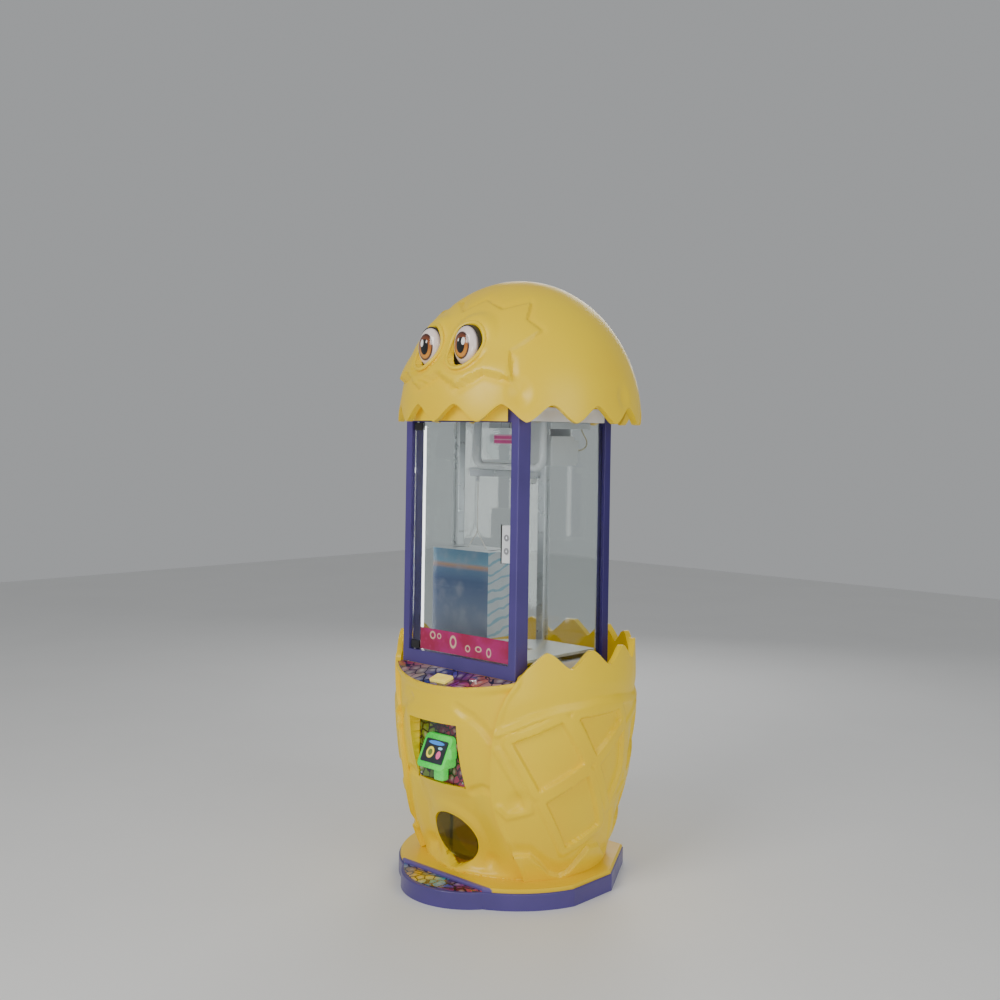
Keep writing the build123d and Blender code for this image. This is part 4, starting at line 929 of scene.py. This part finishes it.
reader_low, reader_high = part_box("card_reader")
rounded_block("reader_tongue", "cabinet", (-8, reader_low.y / MM + 26, 392), (36, reader_high.y / MM - 2, 446),
              reader_green, 8)
rounded_block("reader_side_bump", "cabinet", (56, -402, 470), (76, -368, 508), reader_green, 8)
screen_low, screen_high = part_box("reader_screen")


def frame_of(name, body, low, high, depth_low, depth_high, width, material):
    """Picture-frame moulding around a rectangle that faces the front."""
    bm = bmesh.new()
    bmesh.ops.create_grid(bm, x_segments=1, y_segments=1, size=0.5, matrix=Matrix.Translation(
        ((low[0] + high[0]) / 2, depth_low, (low[1] + high[1]) / 2)) @ Matrix.Rotation(math.pi / 2, 4, "X")
        @ Matrix.Diagonal((high[0] - low[0], high[1] - low[1], 1, 1)))
    face = bm.faces[:][0]
    bmesh.ops.inset_region(bm, faces=[face], thickness=width)
    bmesh.ops.delete(bm, geom=[face], context="FACES")
    deep = bmesh.ops.extrude_face_region(bm, geom=bm.faces[:])
    bmesh.ops.translate(bm, verts=[part for part in deep["geom"] if isinstance(part, bmesh.types.BMVert)],
                        vec=(0, depth_high - depth_low, 0))
    bmesh.ops.recalc_face_normals(bm, faces=bm.faces)
    bmesh.ops.bevel(bm, geom=bm.edges[:], offset=min(width, abs(depth_high - depth_low)) * 0.3, segments=2,
                    affect="EDGES", profile=0.5, material=-1)
    bmesh.ops.transform(bm, verts=bm.verts, matrix=Matrix.Scale(MM, 4))
    return finished(bm, name, body, material, 40)


strip_low, strip_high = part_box("glass_door")
rounded_block("frame_drip_edge", "cabinet", (-236, -303.6, 788.6), (236, -300.5, 791.4), white_powder, 0.8)
label_low, label_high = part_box("acrylic_guard")
rounded_block("guard_label", "cabinet", (15, -147.4, 1520), (115, -146.3, 1552), pink_label, 0.3, 1)
rounded_block("guard_dot", "cabinet", (92, -147.6, 1484), (102, -146.3, 1494), nylon_white, 0.5, 1)

# pale channel on the inner side of the rear right post
post_low, post_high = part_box("post_rear_right")
rounded_block("post_liner", "cabinet", (post_low.x / MM - 5.0, post_low.y / MM + 3, 800), (post_low.x / MM - 0.3, post_high.y / MM - 3, 1596),
              anodised, 0.8, 2)

# black patches on the carton's lid: painted shade standing in for the dark inside of its handle slots
carton_low, carton_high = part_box("prize_box_upper")
carton_middle = (carton_low + carton_high) / 2 / MM
for index, (across, along) in enumerate(((-88, 0), (88, 0))):
    rounded_block("carton_slot_shade_%d" % index, "prize", (carton_middle.x + across - 9, carton_middle.y - 30, carton_high.z / MM - 0.2),
                  (carton_middle.x + across + 9, carton_middle.y + 30, carton_high.z / MM + 0.5), black_moulding, 0.25, 1)
for label, height in (("middle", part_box("prize_box_upper")[0].z / MM),):
    rounded_block("carton_tape_" + label, "prize", (carton_low.x / MM - 0.35, carton_low.y / MM - 0.35, height - 1.0),
                  (carton_high.x / MM + 0.35, carton_high.y / MM + 0.35, height + 1.0), carton_print, 0.3, 1)

# ------------------------------------------------------------------ service cable
cable_route = ((200, 100, 1575), (201, 106, 1562), (204, 120, 1545), (205, 128, 1526), (204, 120, 1510),
               (202, 100, 1501), (200, 78, 1500), (199, 60, 1505), (199, 48, 1509))
line = bpy.data.curves.new("service_loop", "CURVE")
line.dimensions = "3D"
line.bevel_depth = 2.5 * MM
line.bevel_resolution = 4
line.resolution_u = 12
run = line.splines.new("NURBS")
run.points.add(len(cable_route) - 1)
for control, spot in zip(run.points, cable_route):
    control.co = (*(Vector(spot) * MM), 1.0)
run.order_u = 3
run.use_endpoint_u = True
line.materials.append(cable_cream)
loop = bpy.data.objects.new("service_loop", line)
bpy.context.scene.collection.objects.link(loop)
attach(loop, "cabinet")
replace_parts(loop, "service_cable")

# ------------------------------------------------------------------ floor, backdrop, lights and camera
stage_paint = finish("studio_paper", (0.80, 0.80, 0.79), (0.77, 0.77, 0.76), 0.6, peel=0.0, clouds=1.5)
bm = bmesh.new()
bmesh.ops.create_grid(bm, x_segments=1, y_segments=1, size=9.0)
sheet = bpy.data.meshes.new("studio_floor")
bm.to_mesh(sheet)
bm.free()
sheet.materials.append(stage_paint)
studio_floor = bpy.data.objects.new("studio_floor", sheet)
bpy.context.scene.collection.objects.link(studio_floor)

world = bpy.data.worlds.new("studio_air")
bpy.context.scene.world = world
world.use_nodes = True
world.node_tree.nodes["Background"].inputs["Color"].default_value = (0.86, 0.88, 0.90, 1)
world.node_tree.nodes["Background"].inputs["Strength"].default_value = 0.42


def hang_light(name, place, aim, size, power, colour):
    """Soft square lamp that points at a spot."""
    lamp = bpy.data.lights.new(name, "AREA")
    lamp.shape = "SQUARE"
    lamp.size = size
    lamp.energy = power
    lamp.color = colour
    made = bpy.data.objects.new(name, lamp)
    made.location = place
    made.rotation_euler = (Vector(aim) - Vector(place)).to_track_quat("-Z", "Y").to_euler()
    bpy.context.scene.collection.objects.link(made)


hang_light("side_light", (3.6, -3.4, 0.9), (0, 0, 0.6), 1.4, 30, (1.0, 0.99, 0.97))
hang_light("key_light", (0.4, -4.2, 3.6), (0, 0, 1.1), 2.2, 120, (1.0, 0.98, 0.95))
hang_light("fill_light", (4.4, -0.6, 2.4), (0, 0, 1.0), 2.6, 50, (0.95, 0.97, 1.0))
hang_light("back_light", (-2.2, 3.6, 3.0), (0, 0, 1.3), 2.0, 50, (1.0, 1.0, 1.0))

camera = bpy.data.cameras.new("viewer")
camera.sensor_width = 36.0
camera.lens = 44.35
camera.shift_y = -0.066
seat = bpy.data.objects.new("viewer", camera)
seat.matrix_world = (Matrix.Translation((2.945, -3.295, 1.554)) @ Matrix.Rotation(math.radians(42.7), 4, "Z")
                     @ Matrix.Rotation(math.radians(90), 4, "X") @ Matrix.Rotation(math.radians(0.9), 4, "Z"))
bpy.context.scene.collection.objects.link(seat)
bpy.context.scene.camera = seat
